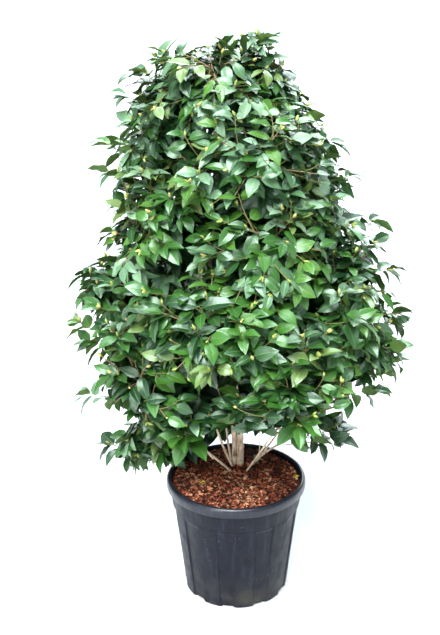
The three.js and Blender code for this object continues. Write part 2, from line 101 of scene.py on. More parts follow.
def putMesh(name, points, faces, materials, slots=None, sharpAngle=None):
    # faces: a list of arrays, each holding faces with one number of corners
    mesh = bpy.data.meshes.new(name)
    points = points.reshape(-1, 3)
    sizes = np.concatenate([np.full(len(group), group.shape[1]) for group in faces])
    corners = np.concatenate([group.ravel() for group in faces])
    starts = np.concatenate([[0], np.cumsum(sizes)[:-1]])
    mesh.vertices.add(len(points))
    mesh.vertices.foreach_set("co", np.ascontiguousarray(points, np.float32).ravel())
    mesh.loops.add(len(corners))
    mesh.loops.foreach_set("vertex_index", corners.astype(np.int32))
    mesh.polygons.add(len(sizes))
    mesh.polygons.foreach_set("loop_start", starts.astype(np.int32))
    for material in materials:
        mesh.materials.append(material)
    if slots is not None:
        mesh.polygons.foreach_set("material_index", slots.astype(np.int32))
    mesh.polygons.foreach_set("use_smooth", np.ones(len(sizes), bool))
    mesh.update(calc_edges=True)
    mesh.validate()
    if sharpAngle:
        mesh.set_sharp_from_angle(angle=math.radians(sharpAngle))
    piece = bpy.data.objects.new(name, mesh)
    bpy.context.scene.collection.objects.link(piece)
    return piece


def handOver(piece, nodes=()):
    # the piece rides on the plant's one body and stands for its solids
    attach(piece, "root")
    if nodes:
        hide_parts(*nodes)
    triangles = sum(len(face.vertices) - 2 for face in piece.data.polygons)
    print(f"{piece.name}: {triangles} triangles, stands for {len(nodes)} solids")
    return triangles


def spokes(turn, side, across):
    # cos(turn) * side + sin(turn) * across
    return np.cos(turn)[:, None] * side + np.sin(turn)[:, None] * across


def tubeRings(paths, radii, sides):
    # centre + radius * spoke, round every station of every path
    ahead = unit(np.gradient(paths, axis=1))
    overall = np.abs(unit(paths[:, -1] - paths[:, 0]))
    reference = np.where(overall[:, 2:3] > 0.75, [[1.0, 0.0, 0.0]], [[0.0, 0.0, 1.0]])
    side = unit(np.cross(ahead, reference[:, None, :]))
    across = np.cross(ahead, side)
    turn = fullTurn * np.arange(sides) / sides
    return paths[:, :, None] + radii[..., None, None] * spokes(turn, side[:, :, None], across[:, :, None])


def tubeFaces(count, stations, sides):
    # quads between the rings of each tube, and a cap at both its ends
    k = np.arange(sides)
    low = np.arange(stations - 1)[:, None] * sides
    following = (k + 1) % sides
    quads = np.stack([low + k, low + following, low + sides + following, low + sides + k], -1)
    caps = np.stack([k[::-1], (stations - 1) * sides + k])
    shift = np.arange(count)[:, None, None] * stations * sides
    return [(quads.reshape(-1, 4) + shift).reshape(-1, 4), (caps + shift).reshape(-1, sides)]


def tubeSlots(slots, stations, sides):
    # a tube's material for each of its quads, then for its two caps
    return np.concatenate([np.repeat(slots, (stations - 1) * sides), np.repeat(slots, 2)])


def alongBezier(start, bend, end, share):
    # (1-t)^2 start + 2t(1-t) bend + t^2 end, for rows of points
    t = share[None, :, None]
    return (1 - t) ** 2 * start[:, None] + 2 * t * (1 - t) * bend[:, None] + t ** 2 * end[:, None]


def feed(tree, node, sockets):
    # each named or numbered socket takes a value, or a link from another node's output
    for label, value in sockets.items():
        if isinstance(value, bpy.types.NodeSocket):
            tree.links.new(value, node.inputs[label])
        else:
            node.inputs[label].default_value = value


def addNode(tree, kind, sockets, **settings):
    # a node with its settings made and its sockets fed
    node = tree.nodes.new("ShaderNode" + kind)
    for key, value in settings.items():
        setattr(node, key, value)
    feed(tree, node, sockets)
    return node


def startGroup(name, values, result):
    # a group that takes a Vector and the named values, and gives one number
    group = bpy.data.node_groups.new(name, "ShaderNodeTree")
    group.interface.new_socket("Vector", in_out="INPUT", socket_type="NodeSocketVector")
    for label, value in values.items():
        kind = "NodeSocketVector" if isinstance(value, tuple) else "NodeSocketFloat"
        group.interface.new_socket(label, in_out="INPUT", socket_type=kind).default_value = value
    group.interface.new_socket(result, in_out="OUTPUT", socket_type="NodeSocketFloat")
    given = group.nodes.new("NodeGroupInput").outputs
    return group, given, group.nodes.new("NodeGroupOutput").inputs[result]


def mottleGroup():
    # noise at a size, spread over the range from Low to High
    values = {"Scale": 8.0, "Detail": 4.0, "Low": 0.0, "High": 1.0}
    group, given, result = startGroup("softMottle", values, "Value")
    noise = addNode(group, "TexNoise", {key: given[key] for key in ("Vector", "Scale", "Detail")})
    spread = addNode(group, "MapRange", {"Value": noise.outputs["Fac"], "From Min": 0.32, "From Max": 0.68,
                                         "To Min": given["Low"], "To Max": given["High"]})
    group.links.new(spread.outputs["Result"], result)
    return group


def speckleGroup():
    # thin spots and streaks: noise above a threshold, softened by Softness
    values = {"Scale": 60.0, "Stretch": (1.0, 1.0, 1.0), "Threshold": 0.62, "Softness": 0.05}
    group, given, result = startGroup("speckle", values, "Mask")
    mapping = addNode(group, "Mapping", {"Vector": given["Vector"], "Scale": given["Stretch"]})
    noise = addNode(group, "TexNoise", {"Vector": mapping.outputs["Vector"], "Scale": given["Scale"],
                                        "Detail": 5.0})
    top = addNode(group, "Math", {0: given["Threshold"], 1: given["Softness"]})
    spread = addNode(group, "MapRange", {"Value": noise.outputs["Fac"], "From Min": given["Threshold"],
                                         "From Max": top.outputs[0]}, interpolation_type="SMOOTHSTEP")
    group.links.new(spread.outputs["Result"], result)
    return group


def heightFadeGroup():
    # 1 at Bottom, 0 at Top, broken up by noise: dust and splashes near the ground
    values = {"Bottom": 0.0, "Top": 0.2, "Scale": 14.0, "Patchiness": 0.7}
    group, given, result = startGroup("heightFade", values, "Mask")
    apart = addNode(group, "SeparateXYZ", {"Vector": given["Vector"]})
    fall = addNode(group, "MapRange", {"Value": apart.outputs["Z"], "From Min": given["Bottom"],
                                       "From Max": given["Top"], "To Min": 1.0, "To Max": 0.0},
                   interpolation_type="SMOOTHSTEP")
    noise = addNode(group, "TexNoise", {"Vector": given["Vector"], "Scale": given["Scale"], "Detail": 6.0})
    floor = addNode(group, "Math", {0: 1.0, 1: given["Patchiness"]}, operation="SUBTRACT")
    patches = addNode(group, "MapRange", {"Value": noise.outputs["Fac"], "From Min": 0.4, "From Max": 0.65,
                                          "To Min": floor.outputs[0]})
    product = addNode(group, "Math", {0: fall.outputs["Result"], 1: patches.outputs["Result"]},
                      operation="MULTIPLY")
    group.links.new(product.outputs[0], result)
    return group


mottle = mottleGroup()
speckle = speckleGroup()
heightFade = heightFadeGroup()


class Finish:
    # a material with one Principled BSDF, and short ways to feed its sockets
    def __init__(self, name, baseColor, roughness, specular=0.5, coat=0.0, coatRoughness=0.1):
        self.material = bpy.data.materials.new(name)
        self.material.use_nodes = True
        self.material.diffuse_color = baseColor
        self.tree = self.material.node_tree
        self.place = self.tree.nodes.new("ShaderNodeTexCoord").outputs["Object"]
        self.set({"Base Color": baseColor, "Roughness": roughness, "Specular IOR Level": specular,
                  "Coat Weight": coat, "Coat Roughness": coatRoughness})

    def set(self, sockets):
        # values or links for the shader's own sockets
        feed(self.tree, self.tree.nodes["Principled BSDF"], sockets)

    def pattern(self, group, **values):
        # one of the shared groups over the piece's own coordinates
        return addNode(self.tree, "Group", {"Vector": self.place, **values}, node_tree=group).outputs[0]

    def mixColor(self, first, second, share):
        # first at share 0, second at share 1; sockets 6 and 7 and output 2 are the node's colours
        return addNode(self.tree, "Mix", {"Factor": share, 6: first, 7: second}, data_type="RGBA").outputs[2]

    def bump(self, scale, detail, strength, distance):
        # relief of noise: its scale and detail, how strong it is, and how far it rises
        height = self.pattern(mottle, Scale=scale, Detail=detail)
        node = addNode(self.tree, "Bump", {"Strength": strength, "Distance": distance, "Height": height})
        self.set({"Normal": node.outputs["Normal"]})


def reliefFinish(name, colour, roughness, relief, **more):
    # one colour under a relief of noise
    finish = Finish(name, colour, roughness, **more)
    finish.bump(*relief)
    return finish.material


print("shader groups are built")

container = {
    "height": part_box("container")[1].z,
    "baseRadius": 0.180,
    "wallTopRadius": 0.227,
    "wall": 0.005,
    "floor": 0.014,
    "lipRadius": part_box("container")[1].x,
    "lipHeight": 0.031,
    "collarBottom": 0.325,
    "collarStep": 0.0042,
    "collarGroove": 0.0045,
    "panels": 10,
    "panelDepth": 0.0048,
    "panelFlank": math.radians(1.2),
    "panelFade": 0.008,  # the height over which the panels run out below the collar
    "drainWidth": 0.040,
    "drainDepth": 0.013,
    "drainHeight": 0.009,
    "softness": 0.0042,
    "wobble": 0.0006,
    "longestStep": 0.012,  # along the profile
    "middle": 0.0004,  # the radius at which the profile starts and ends
    "wallColor": tint(13, 15, 26),
    "lipColor": tint(14, 18, 31),
    "streakColor": tint(27, 30, 42),
    "dustColor": tint(50, 49, 45),
    "scuffColor": tint(104, 106, 112),
}


def wallRadius(z):
    # the wall's slope, carried on to the rim
    return blendTo(container["baseRadius"], container["wallTopRadius"], z / container["height"])


def softenCorners(profile, softness, steps=4):
    # each inner corner becomes a short Bezier arc between points `softness` before and after it
    corners = np.array([corner[:2] for corner in profile])
    softs = np.array([corner[2] for corner in profile]) * softness
    rows = [corners[:1]]
    t = np.linspace(0, 1, steps)[:, None]
    for before, corner, after, soft in zip(corners, corners[1:], corners[2:], softs[1:]):
        back, on = before - corner, after - corner
        a = corner + back * min(soft / np.linalg.norm(back), 0.45)
        b = corner + on * min(soft / np.linalg.norm(on), 0.45)
        rows.append((1 - t) ** 2 * a + 2 * t * (1 - t) * corner + t ** 2 * b)
    rows.append(corners[-1:])
    return np.concatenate(rows)


def fillProfile(profile, longest):
    # further stations on a profile's long straight stretches
    gaps = np.linalg.norm(np.diff(profile, axis=0), axis=1)
    rows = [np.linspace(a, b, max(int(gap / longest), 1), endpoint=False)
            for a, b, gap in zip(profile, profile[1:], gaps)]
    return np.concatenate(rows + [profile[-1:]])


def containerProfile():
    # radius, height and share of the softness at each corner, from under the floor round to its top
    c = container
    height, lip, collar, drain = c["height"], c["lipRadius"], c["collarBottom"], c["drainHeight"]
    lipBottom = height - c["lipHeight"]

    def inner(z):
        # the inside of the wall
        return wallRadius(z) - c["wall"]

    collarOuter = wallRadius(collar) + c["collarStep"]
    underLip = wallRadius(lipBottom) + c["collarStep"]
    return [
        (c["middle"], 0.0, 0), (0.06, 0.0, 0), (wallRadius(0) - 0.018, 0.0, 0.5), (wallRadius(0), 0.0, 1),
        (wallRadius(drain - 0.0004), drain - 0.0004, 0.05),
        (wallRadius(drain + 0.0004), drain + 0.0004, 0.05),
        (wallRadius(collar - c["panelFade"]), collar - c["panelFade"], 0.3),
        (wallRadius(collar) - 0.0015, collar - c["collarGroove"], 0.2),
        (wallRadius(collar) - 0.0010, collar, 0.1),
        (collarOuter - 0.0006, collar - 0.0006, 0.15), (collarOuter, collar + 0.002, 0.2),
        (underLip, lipBottom, 0), (underLip + 0.0006, lipBottom + 0.009, 0.4),  # the hollow under the lip
        (lip - 0.0048, lipBottom + 0.009, 0.4), (lip - 0.0042, lipBottom - 0.001, 0.3),
        (lip - 0.0012, lipBottom - 0.001, 0.4), (lip, lipBottom + 0.012, 1.5),
        (lip - 0.0015, height - 0.007, 1.6), (lip - 0.0075, height, 1.8),
        (inner(height) + 0.003, height, 0.8), (inner(height), height - 0.005, 1),
        (inner(0.10), 0.10, 0), (inner(c["floor"]), c["floor"], 1), (c["middle"], c["floor"], 0),
    ]


def plasticFinish(name, colour, specular, coat):
    # near-black plastic under pale streaks, scuffs and a little dust at the foot
    c = container
    finish = Finish(name, colour, 0.5, specular=specular, coat=coat, coatRoughness=0.16)
    dust = finish.pattern(heightFade, Bottom=0.0, Top=0.15, Scale=15.0, Patchiness=1.0)
    streaks = finish.pattern(speckle, Scale=70.0, Stretch=(1.0, 1.0, 0.06), Threshold=0.50, Softness=0.20)
    scuff = finish.pattern(speckle, Scale=210.0, Stretch=(1.0, 1.0, 0.8), Threshold=0.68, Softness=0.06)
    base = finish.mixColor(colour, c["streakColor"], streaks)
    base = finish.mixColor(base, c["dustColor"], dust)
    finish.set({"Base Color": finish.mixColor(base, c["scuffColor"], scuff),
                "Roughness": finish.pattern(mottle, Scale=22.0, Detail=5.0, Low=0.36, High=0.58)})
    finish.bump(420.0, 3.0, 0.12, 0.0006)
    return finish.material


def makeContainer():
    # the profile turned round the axis, pressed in between the flutes and cut back at the drain notches
    c = container
    line = fillProfile(softenCorners(containerProfile(), c["softness"]), c["longestStep"])
    pitch = fullTurn / c["panels"]
    flank = c["panelFlank"]
    half = 0.5 * c["drainWidth"] / c["baseRadius"]
    marks = np.concatenate([
        np.linspace(-flank, 2 * flank, 7), pitch / 2 + np.linspace(-2 * flank, flank, 7),
        pitch / 4 + np.array([-half - 0.003, -half, half, half + 0.003]),
        np.linspace(3 * flank, pitch - 2 * flank, 9),
    ])
    turn = np.unique(np.round((marks[None] + pitch * np.arange(c["panels"])[:, None]) % fullTurn, 5))
    radius, z = [value[:, None] * np.ones_like(turn) for value in line.T]
    inPitch = turn % pitch
    pressed = ease(inPitch / flank) * (1 - ease((inPitch - pitch / 2 + flank) / flank))
    outerWall = (radius > wallRadius(z) - 0.5 * c["wall"]) & (z < c["collarBottom"] - 0.002) & (radius > 0.09)
    fade = ease((c["collarBottom"] - c["panelFade"] - z) / c["panelFade"])
    radius = radius - outerWall * fade * pressed * c["panelDepth"]
    notch = (np.abs(inPitch - pitch / 4) < half + 0.001) & (z < c["drainHeight"]) & (radius > 0.15)
    radius = np.where(notch, np.minimum(radius, c["baseRadius"] - c["drainDepth"]), radius)
    points = polar(radius, turn, z)
    # a moulding is never quite round
    wobble = c["wobble"] * ripple(points.reshape(-1, 3), 0.35, 5).reshape(radius.shape)
    free = outerWall & ~notch & (z > 0.012)
    points[..., :2] *= (1 - np.where(free, np.abs(wobble), 0) / np.maximum(radius, 0.01))[..., None]
    lipBottom = c["height"] - c["lipHeight"]
    onLip = (z[:-1] > lipBottom - 0.0005) & (radius[:-1] > c["wallTopRadius"])
    slots = np.concatenate([onLip.astype(int).ravel(), [0, 0]])
    finishes = [plasticFinish("charcoalWall", c["wallColor"], 0.24, 0.0),
                plasticFinish("charcoalLip", c["lipColor"], 0.34, 0.45)]
    return putMesh("container_moulding", points, tubeFaces(1, *radius.shape), finishes, slots, sharpAngle=38)


total = handOver(makeContainer(), ["container"])

medium = {  # a bed of coir under loose chips and fibres
    "surface": 0.404,
    "moundTop": 0.411,
    "moundTopRadius": 0.068,
    "moundFootRadius": 0.150,
    "bottom": 0.015,
    "lumps": 0.0035,
    "columns": 160,
    "bedColor": tint(58, 34, 24),
    "dampColor": tint(34, 15, 9),
    "dryColor": tint(116, 62, 40),
    "stemRoom": 0.016,  # no chip or fibre lies nearer to the middle of the stems
    "seed": 11,
}
chip = {
    "count": 3900,
    "length": (0.006, 0.023),
    "width": (0.3, 0.75),  # of its length
    "thickness": (0.0016, 0.0052),
    "corners": (0.62, 1.0),  # how far each corner reaches
    "lift": (-0.002, 0.0075),
    "tones": [(46, 21, 12), (84, 40, 26), (124, 62, 42), (168, 92, 64), (208, 138, 102), (216, 174, 138)],
    "toneSteps": [0.13, 0.34, 0.58, 0.80, 0.93],
}
fibre = {
    "count": 900,
    "length": (0.015, 0.050),
    "radius": (0.0003, 0.0009),
    "stations": 6,
    "sides": 3,
    "tones": [(112, 66, 42), (70, 42, 32), (196, 168, 128)],
    "toneShares": [0.56, 0.34, 0.10],
}
stemFoot = np.array([0.014, 0.076, 0.400])  # where the trunk leaves the bed


def bedHeight(x, y):
    # the level bed plus an eased mound round the stems
    away = np.hypot(x - stemFoot[0], y - stemFoot[1])
    span = medium["moundFootRadius"] - medium["moundTopRadius"]
    rise = medium["moundTop"] - medium["surface"]
    return medium["surface"] + rise * ease((medium["moundFootRadius"] - away) / span)


def makeBed():
    # rings from the middle out to the wall, then down it and back under; lumps fade out at the wall
    edge = wallRadius(medium["surface"]) - container["wall"] - 0.0006
    foot = wallRadius(medium["bottom"]) - container["wall"] - 0.002
    rings = np.concatenate([np.linspace(0.002, edge, 60), [edge, foot, 0.002]])
    points = polar(rings[:, None], fullTurn * np.arange(medium["columns"]) / medium["columns"], 0.0)
    z = bedHeight(points[..., 0], points[..., 1])
    flat = points.reshape(-1, 3)
    relief = ripple(flat, 0.030, 3) + 0.6 * ripple(flat, 0.011, 4)
    z = z - 0.002 + medium["lumps"] * relief.reshape(z.shape) * ease((edge - rings[:, None]) / 0.01)
    z[-3] = medium["surface"] - 0.003
    z[-2:] = medium["bottom"]
    points[..., 2] = z
    quads, caps = tubeFaces(1, *z.shape)
    finish = Finish("coirBed", medium["bedColor"], 0.95, specular=0.2)
    light = finish.pattern(mottle, Scale=90.0, Detail=6.0)
    finish.set({"Base Color": finish.mixColor(medium["dampColor"], medium["dryColor"], light)})
    finish.bump(160.0, 6.0, 0.8, 0.004)
    return putMesh("coir_bed", points, [quads[:, [0, 3, 2, 1]], caps[:, ::-1]], [finish.material])


def scatter(rng, count, rim):
    # even over the bed's disc, but not inside the stems
    radius = (wallRadius(medium["surface"]) - container["wall"] - rim) * np.sqrt(rng.random(count))
    place = polar(radius, fullTurn * rng.random(count), 0.0)[:, :2]
    return place[np.hypot(*(place - stemFoot[:2]).T) > medium["stemRoom"]]


def makeChips(rng):
    # each chip is a box, tilted on the bed, with every corner drawn in by a share of its own
    place = scatter(rng, chip["count"], 0.012)
    count = len(place)
    length = rng.uniform(*chip["length"], count) * rng.uniform(0.6, 1.0, count)
    width = length * rng.uniform(*chip["width"], count)
    size = np.stack([length, width, rng.uniform(*chip["thickness"], count)], -1)
    signs = np.array([[x, y, z] for z in (-1, 1) for x, y in ((-1, -1), (1, -1), (1, 1), (-1, 1))]) / 2
    box = signs[None] * size[:, None] * rng.uniform(*chip["corners"], (count, 8, 3))
    ahead = unit(np.concatenate([rng.normal(size=(count, 2)), rng.normal(0, 0.28, (count, 1))], 1))
    face = unit(np.concatenate([rng.normal(0, 0.34, (count, 2)), np.ones((count, 1))], 1))
    side = unit(np.cross(face, ahead))
    axes = np.stack([ahead, side, np.cross(ahead, side)], 1)
    centre = np.concatenate([place, (bedHeight(*place.T) + rng.uniform(*chip["lift"], count))[:, None]], 1)
    points = centre[:, None]
    for i in range(3):
        points = points + box[..., i:i + 1] * axes[:, None, i]
    boxSides = np.array([[3, 2, 1, 0], [4, 5, 6, 7], [0, 1, 5, 4], [1, 2, 6, 5], [2, 3, 7, 6], [3, 0, 4, 7]])
    faces = (boxSides[None] + 8 * np.arange(count)[:, None, None]).reshape(-1, 4)
    # dark chips lie in random patches where the bed is damp, and more of them towards the back, behind the
    # stems, as painted shade of the crown
    patchesAndShade = 0.20 * ripple(centre, 0.07, 15) + 0.22 * ease((place[:, 1] + 0.02) / 0.16)
    slots = np.repeat(np.searchsorted(chip["toneSteps"], rng.random(count) - patchesAndShade), len(boxSides))
    finishes = [reliefFinish(f"barkChip{i + 1}", tint(*tone), 0.88, (260.0, 4.0, 0.6, 0.0015), specular=0.25)
                for i, tone in enumerate(chip["tones"])]
    return putMesh("bark_chips", points, [faces], finishes, slots, sharpAngle=30)


def makeFibres(rng):
    # thin arcs that lie on the bed: a straight line plus a sideways and an upward bow
    place = scatter(rng, fibre["count"], 0.020)
    count, stations, sides = len(place), fibre["stations"], fibre["sides"]
    length = rng.uniform(*fibre["length"], count)
    ahead = polar(1.0, fullTurn * rng.random(count), 0.0)[:, :2]
    side = np.stack([-ahead[:, 1], ahead[:, 0]], -1)
    share = np.linspace(-0.5, 0.5, stations)
    bow = rng.normal(0, 0.22, count)
    run = length[:, None] * share
    sway = (length * bow)[:, None] * (0.25 - share ** 2)
    flat = place[:, None] + run[..., None] * ahead[:, None] + sway[..., None] * side[:, None]
    limit = wallRadius(medium["surface"]) - container["wall"] - 0.004
    flat = flat * np.minimum(1, limit / np.linalg.norm(flat, axis=-1, keepdims=True))
    arch = rng.uniform(0, 0.006, (count, 1)) * (1 - 4 * share ** 2)
    z = bedHeight(flat[..., 0], flat[..., 1]) + 0.004 + arch
    paths = np.concatenate([flat, z[..., None]], -1)
    radii = rng.uniform(*fibre["radius"], (count, 1)) * (1.15 - 1.2 * np.abs(share))
    finishes = [reliefFinish(f"coirFibre{i + 1}", tint(*tone), 0.8, (500.0, 3.0, 0.4, 0.0004), specular=0.3)
                for i, tone in enumerate(fibre["tones"])]
    slots = tubeSlots(rng.choice(3, count, p=fibre["toneShares"]), stations, sides)
    points = tubeRings(paths, radii, sides)
    return putMesh("coir_fibres", points, tubeFaces(count, stations, sides), finishes, slots)


mediumRng = np.random.default_rng(medium["seed"])
total += handOver(makeBed(), ["growing_medium"])
total += handOver(makeChips(mediumRng))
total += handOver(makeFibres(mediumRng))

crown = {
    "axis": np.array([0.0, 0.020, 0.0]),
    "tiers": [  # hearts round a ring at each height, and how far a mass reaches from its heart
        {"name": "skirt", "height": 0.645, "ring": 0.265, "ball": 0.188, "count": 5, "turn": 162,
         "shift": -0.008, "right": 0.038, "front": 0.062},
        {"name": "lower", "height": 0.845, "ring": 0.325, "ball": 0.245, "count": 5, "turn": 0,
         "shift": 0.020, "right": 0.0, "front": 0.015},
        {"name": "middle", "height": 1.070, "ring": 0.305, "ball": 0.240, "count": 4, "turn": 170,
         "shift": 0.0, "right": 0.010, "front": 0.0},
        {"name": "upper", "height": 1.310, "ring": 0.235, "ball": 0.235, "count": 4, "turn": 20,
         "shift": 0.0, "right": 0.020, "front": 0.0},
        {"name": "high", "height": 1.540, "ring": 0.185, "ball": 0.235, "count": 3, "turn": 166,
         "shift": -0.018, "right": -0.045, "front": 0.0},
        {"name": "top", "height": 1.742, "ring": 0.105, "ball": 0.185, "count": 3, "turn": 0,
         "shift": -0.012, "right": 0.008, "front": 0.0},
    ],
    "outline": np.array([  # height, furthest leaf tip to the left, furthest to the right
        [0.405, 0.400, 0.060], [0.470, 0.440, 0.110], [0.540, 0.435, 0.380], [0.590, 0.400, 0.355],
        [0.640, 0.365, 0.260], [0.695, 0.380, 0.255], [0.735, 0.450, 0.320], [0.785, 0.470, 0.440],
        [0.850, 0.470, 0.560], [0.970, 0.480, 0.540], [1.020, 0.535, 0.550], [1.140, 0.510, 0.490],
        [1.190, 0.440, 0.440], [1.290, 0.395, 0.430], [1.350, 0.395, 0.360], [1.410, 0.395, 0.350],
        [1.480, 0.430, 0.380], [1.550, 0.420, 0.330], [1.660, 0.360, 0.250], [1.720, 0.320, 0.185],
        [1.770, 0.310, 0.140], [1.810, 0.240, 0.120], [1.845, 0.040, 0.125], [1.880, -0.030, 0.120],
    ]),
    "clumps": {"depth": 0.16, "size": 0.26, "seed": 21},  # how far the outline dips between sprays
    "hemLeft": 0.405,  # lowest leaf tips
    "hemRight": 0.528,
    "hemFront": 0.690,
    "hemRise": 0.105,  # more than that to the right of the front
    "hemRiseTurn": -0.70,
    "hemRiseWidth": 0.45,
}

stems = {
    "trunk": {"footRadius": 0.0125, "tipRadius": 0.0045, "flare": 1.25, "flareHeight": 0.030, "line": [
        [0, 0, 0], [0, -0.006, 0.150], [-0.014, -0.026, 0.420], [-0.016, -0.046, 0.760],
        [0, -0.052, 1.050], [0.030, -0.056, 1.300]]},
    "second_stem": {"footRadius": 0.008, "tipRadius": 0.0045, "flare": 1.15, "flareHeight": 0.026, "line": [
        [-0.020, -0.002, 0], [-0.023, -0.008, 0.150], [-0.058, -0.022, 0.430],
        [-0.106, -0.036, 0.800], [-0.162, -0.015, 1.060]]},
}

bough = {
    "footRadius": 0.007,
    "tipRadius": 0.004,
    "rise": 0.8,  # of its run, from the carrier to the heart of its mass
    "sag": 0.12,
    "belowTip": 0.015,  # of the carrier, at least
    "groundRing": 0.034,
    "footSink": 0.010,
    "secondNearerBy": 0.020,
    "steps": 36,
}

growth = {
    "entry": 0.55,  # of the ball's radius: where a bough hands over to the mass's own stem
    "stemPast": 0.3,
    "directions": 20,
    "inward": -0.4,
    "roots": (0.25, 0.95),
    "bend": 0.4,
    "arch": 0.18,
    "topLift": 2,
    "border": 0.0015,
}


def makeMasses():
    # a heart at each place of a tier's ring, and the planes halfway to all the other hearts
    masses = []
    for tier in crown["tiers"]:
        for i in range(tier["count"]):
            turn = math.radians(tier["turn"]) + fullTurn * i / tier["count"]
            spoke = np.array([math.cos(turn), math.sin(turn), 0])
            height = tier["height"] + tier["right"] * spoke[0] - tier["front"] * spoke[1]
            heart = crown["axis"] + tier["ring"] * spoke + np.array([tier["shift"], 0, height])
            outward = unit(spoke + up * (growth["topLift"] if tier["name"] == "top" else 0))
            name = f"{tier['name']}_foliage_{i + 1}"
            masses.append({"name": name, "tier": tier["name"], "ball": tier["ball"], "heart": heart,
                           "outward": outward})
    for mass in masses:
        others = np.array([other["heart"] for other in masses if other is not mass])
        mass["away"] = unit(others - mass["heart"])
        mass["limit"] = (0.5 * (others + mass["heart"]) * mass["away"]).sum(-1) - growth["border"]
    return masses


def inOwnSpace(points, mass, slack=0.0):
    # nearer to the mass's own heart than to any other, or past that border by no more than the slack
    return (points @ mass["away"].T < mass["limit"] + slack).all(-1)


def inCrown(points, sides=0.0, top=0.0, hem=0.0, plain=False):
    # under the outline turned round the axis: left reach to right reach by the cosine of the azimuth
    dx, dy = points[..., 0] - crown["axis"][0], points[..., 1] - crown["axis"][1]
    z = points[..., 2]
    radius = np.hypot(dx, dy)
    azimuth = np.arctan2(dy, dx)
    heights, lefts, rights = crown["outline"].T
    reach = blendTo(np.interp(z, heights, lefts), np.interp(z, heights, rights), (1 + np.cos(azimuth)) / 2)
    if not plain:
        clumps = crown["clumps"]
        dips = np.clip(ripple(points, clumps["size"], clumps["seed"]), 0, 1)
        reach = reach * (1 - clumps["depth"] * dips)
    frontal = np.clip(-dy / np.maximum(radius, 0.001), 0, 1)
    sideways = dx / np.maximum(radius, 0.001)
    lowest = blendTo(crown["hemLeft"], crown["hemRight"], (1 + sideways) / 2)
    lowest = blendTo(lowest, crown["hemFront"], ease(1.15 * frontal))
    bulge = np.exp(-((azimuth - crown["hemRiseTurn"]) / crown["hemRiseWidth"]) ** 2)
    lowest = lowest + crown["hemRise"] * bulge
    return (z < heights[-1] - top) & (z > lowest + hem) & (radius < reach - sides)


def centripetal(knots, steps):
    # Catmull-Rom through the knots, its pace set by the fourth root of the squared distances
    k = np.array(knots, float)
    ghost = np.concatenate([[2 * k[0] - k[1]], k, [2 * k[-1] - k[-2]]])
    t = np.linspace(0, len(k) - 1, steps + 1)
    i = np.minimum(t.astype(int), len(k) - 2)
    w = (t - i)[:, None]
    p0, p1, p2, p3 = [ghost[i + step] for step in range(4)]
    d0, d1, d2 = [((b - a) ** 2).sum(-1, keepdims=True) ** 0.25 for a, b in ((p0, p1), (p1, p2), (p2, p3))]
    m1 = ((p1 - p0) / d0 - (p2 - p0) / (d0 + d1) + (p2 - p1) / d1) * d1
    m2 = ((p2 - p1) / d1 - (p3 - p1) / (d1 + d2) + (p3 - p2) / d2) * d1
    return p1 + m1 * w + (-3 * p1 + 3 * p2 - 2 * m1 - m2) * w ** 2 + (2 * p1 - 2 * p2 + m1 + m2) * w ** 3


def makeStem(name, steps=90):
    # a curve through the stem's knots, thinner with height and flared at its foot
    s = stems[name]
    knots = np.array(s["line"]) + stemFoot
    height = knots[-1, 2] - stemFoot[2]
    knots[0, 2] -= bough["footSink"]
    points = centripetal(knots, steps)
    rise = np.maximum(points[:, 2] - stemFoot[2], 0)
    radii = blendTo(s["footRadius"], s["tipRadius"], rise / height)
    radii = radii * blendTo(s["flare"], 1, np.minimum(rise / s["flareHeight"], 1))
    return {"name": name, "points": points, "radii": radii}


def resample(share, at, points):
    # each coordinate read off at other shares of the way
    return np.stack([np.interp(share, at, points[:, axis]) for axis in range(3)], -1)


def pointAtHeight(limb, z):
    # where the limb passes a height
    return resample(z, limb["points"][:, 2], limb["points"])


def makeBough(mass, carrier):
    # out from its carrier and up to its mass; those of the skirt rise straight from the ground
    heart = mass["heart"]
    if mass["tier"] == "skirt":
        away = unit((heart - stemFoot) * [1, 1, 0]) * bough["groundRing"]
        foot = stemFoot + away - up * bough["footSink"]
    else:
        run = math.hypot(*(heart - pointAtHeight(carrier, heart[2]))[:2])
        highest = carrier["points"][-1, 2] - bough["belowTip"]
        foot = pointAtHeight(carrier, min(heart[2] - bough["rise"] * run, highest))
    tip = blendTo(heart, foot, growth["entry"] * mass["ball"] / np.linalg.norm(heart - foot))
    bend = (foot + tip) / 2
    if mass["tier"] != "skirt":
        bend = bend - up * bough["sag"] * np.linalg.norm(foot - tip)
    share = np.linspace(0, 1, bough["steps"] + 1)
    points = alongBezier(foot[None], bend[None], tip[None], share)[0]
    radii = blendTo(bough["footRadius"], bough["tipRadius"], share)
    return {"name": mass["name"].replace("foliage", "bough"), "points": points, "radii": radii}


def seededDraw(seed):
    # the source's own draws from 0 to 1, so that the main twigs are the same ones
    state = seed
    full = 0xFFFFFFFF
    while True:
        state = (state + 0x6D2B79F5) & full
        mixed = ((state ^ (state >> 15)) * (1 | state)) & full
        mixed = ((mixed + (((mixed ^ (mixed >> 7)) * (61 | mixed)) & full)) & full) ^ mixed
        yield ((mixed ^ (mixed >> 14)) & full) / 2 ** 32


def ballDirections(count, startTurn):
    # even over a ball: heights in equal steps, each a golden turn on
    i = np.arange(count)
    z = 1 - 2 * (i + 0.5) / count
    return polar(np.sqrt(1 - z * z), startTurn + goldenTurn * i, z)


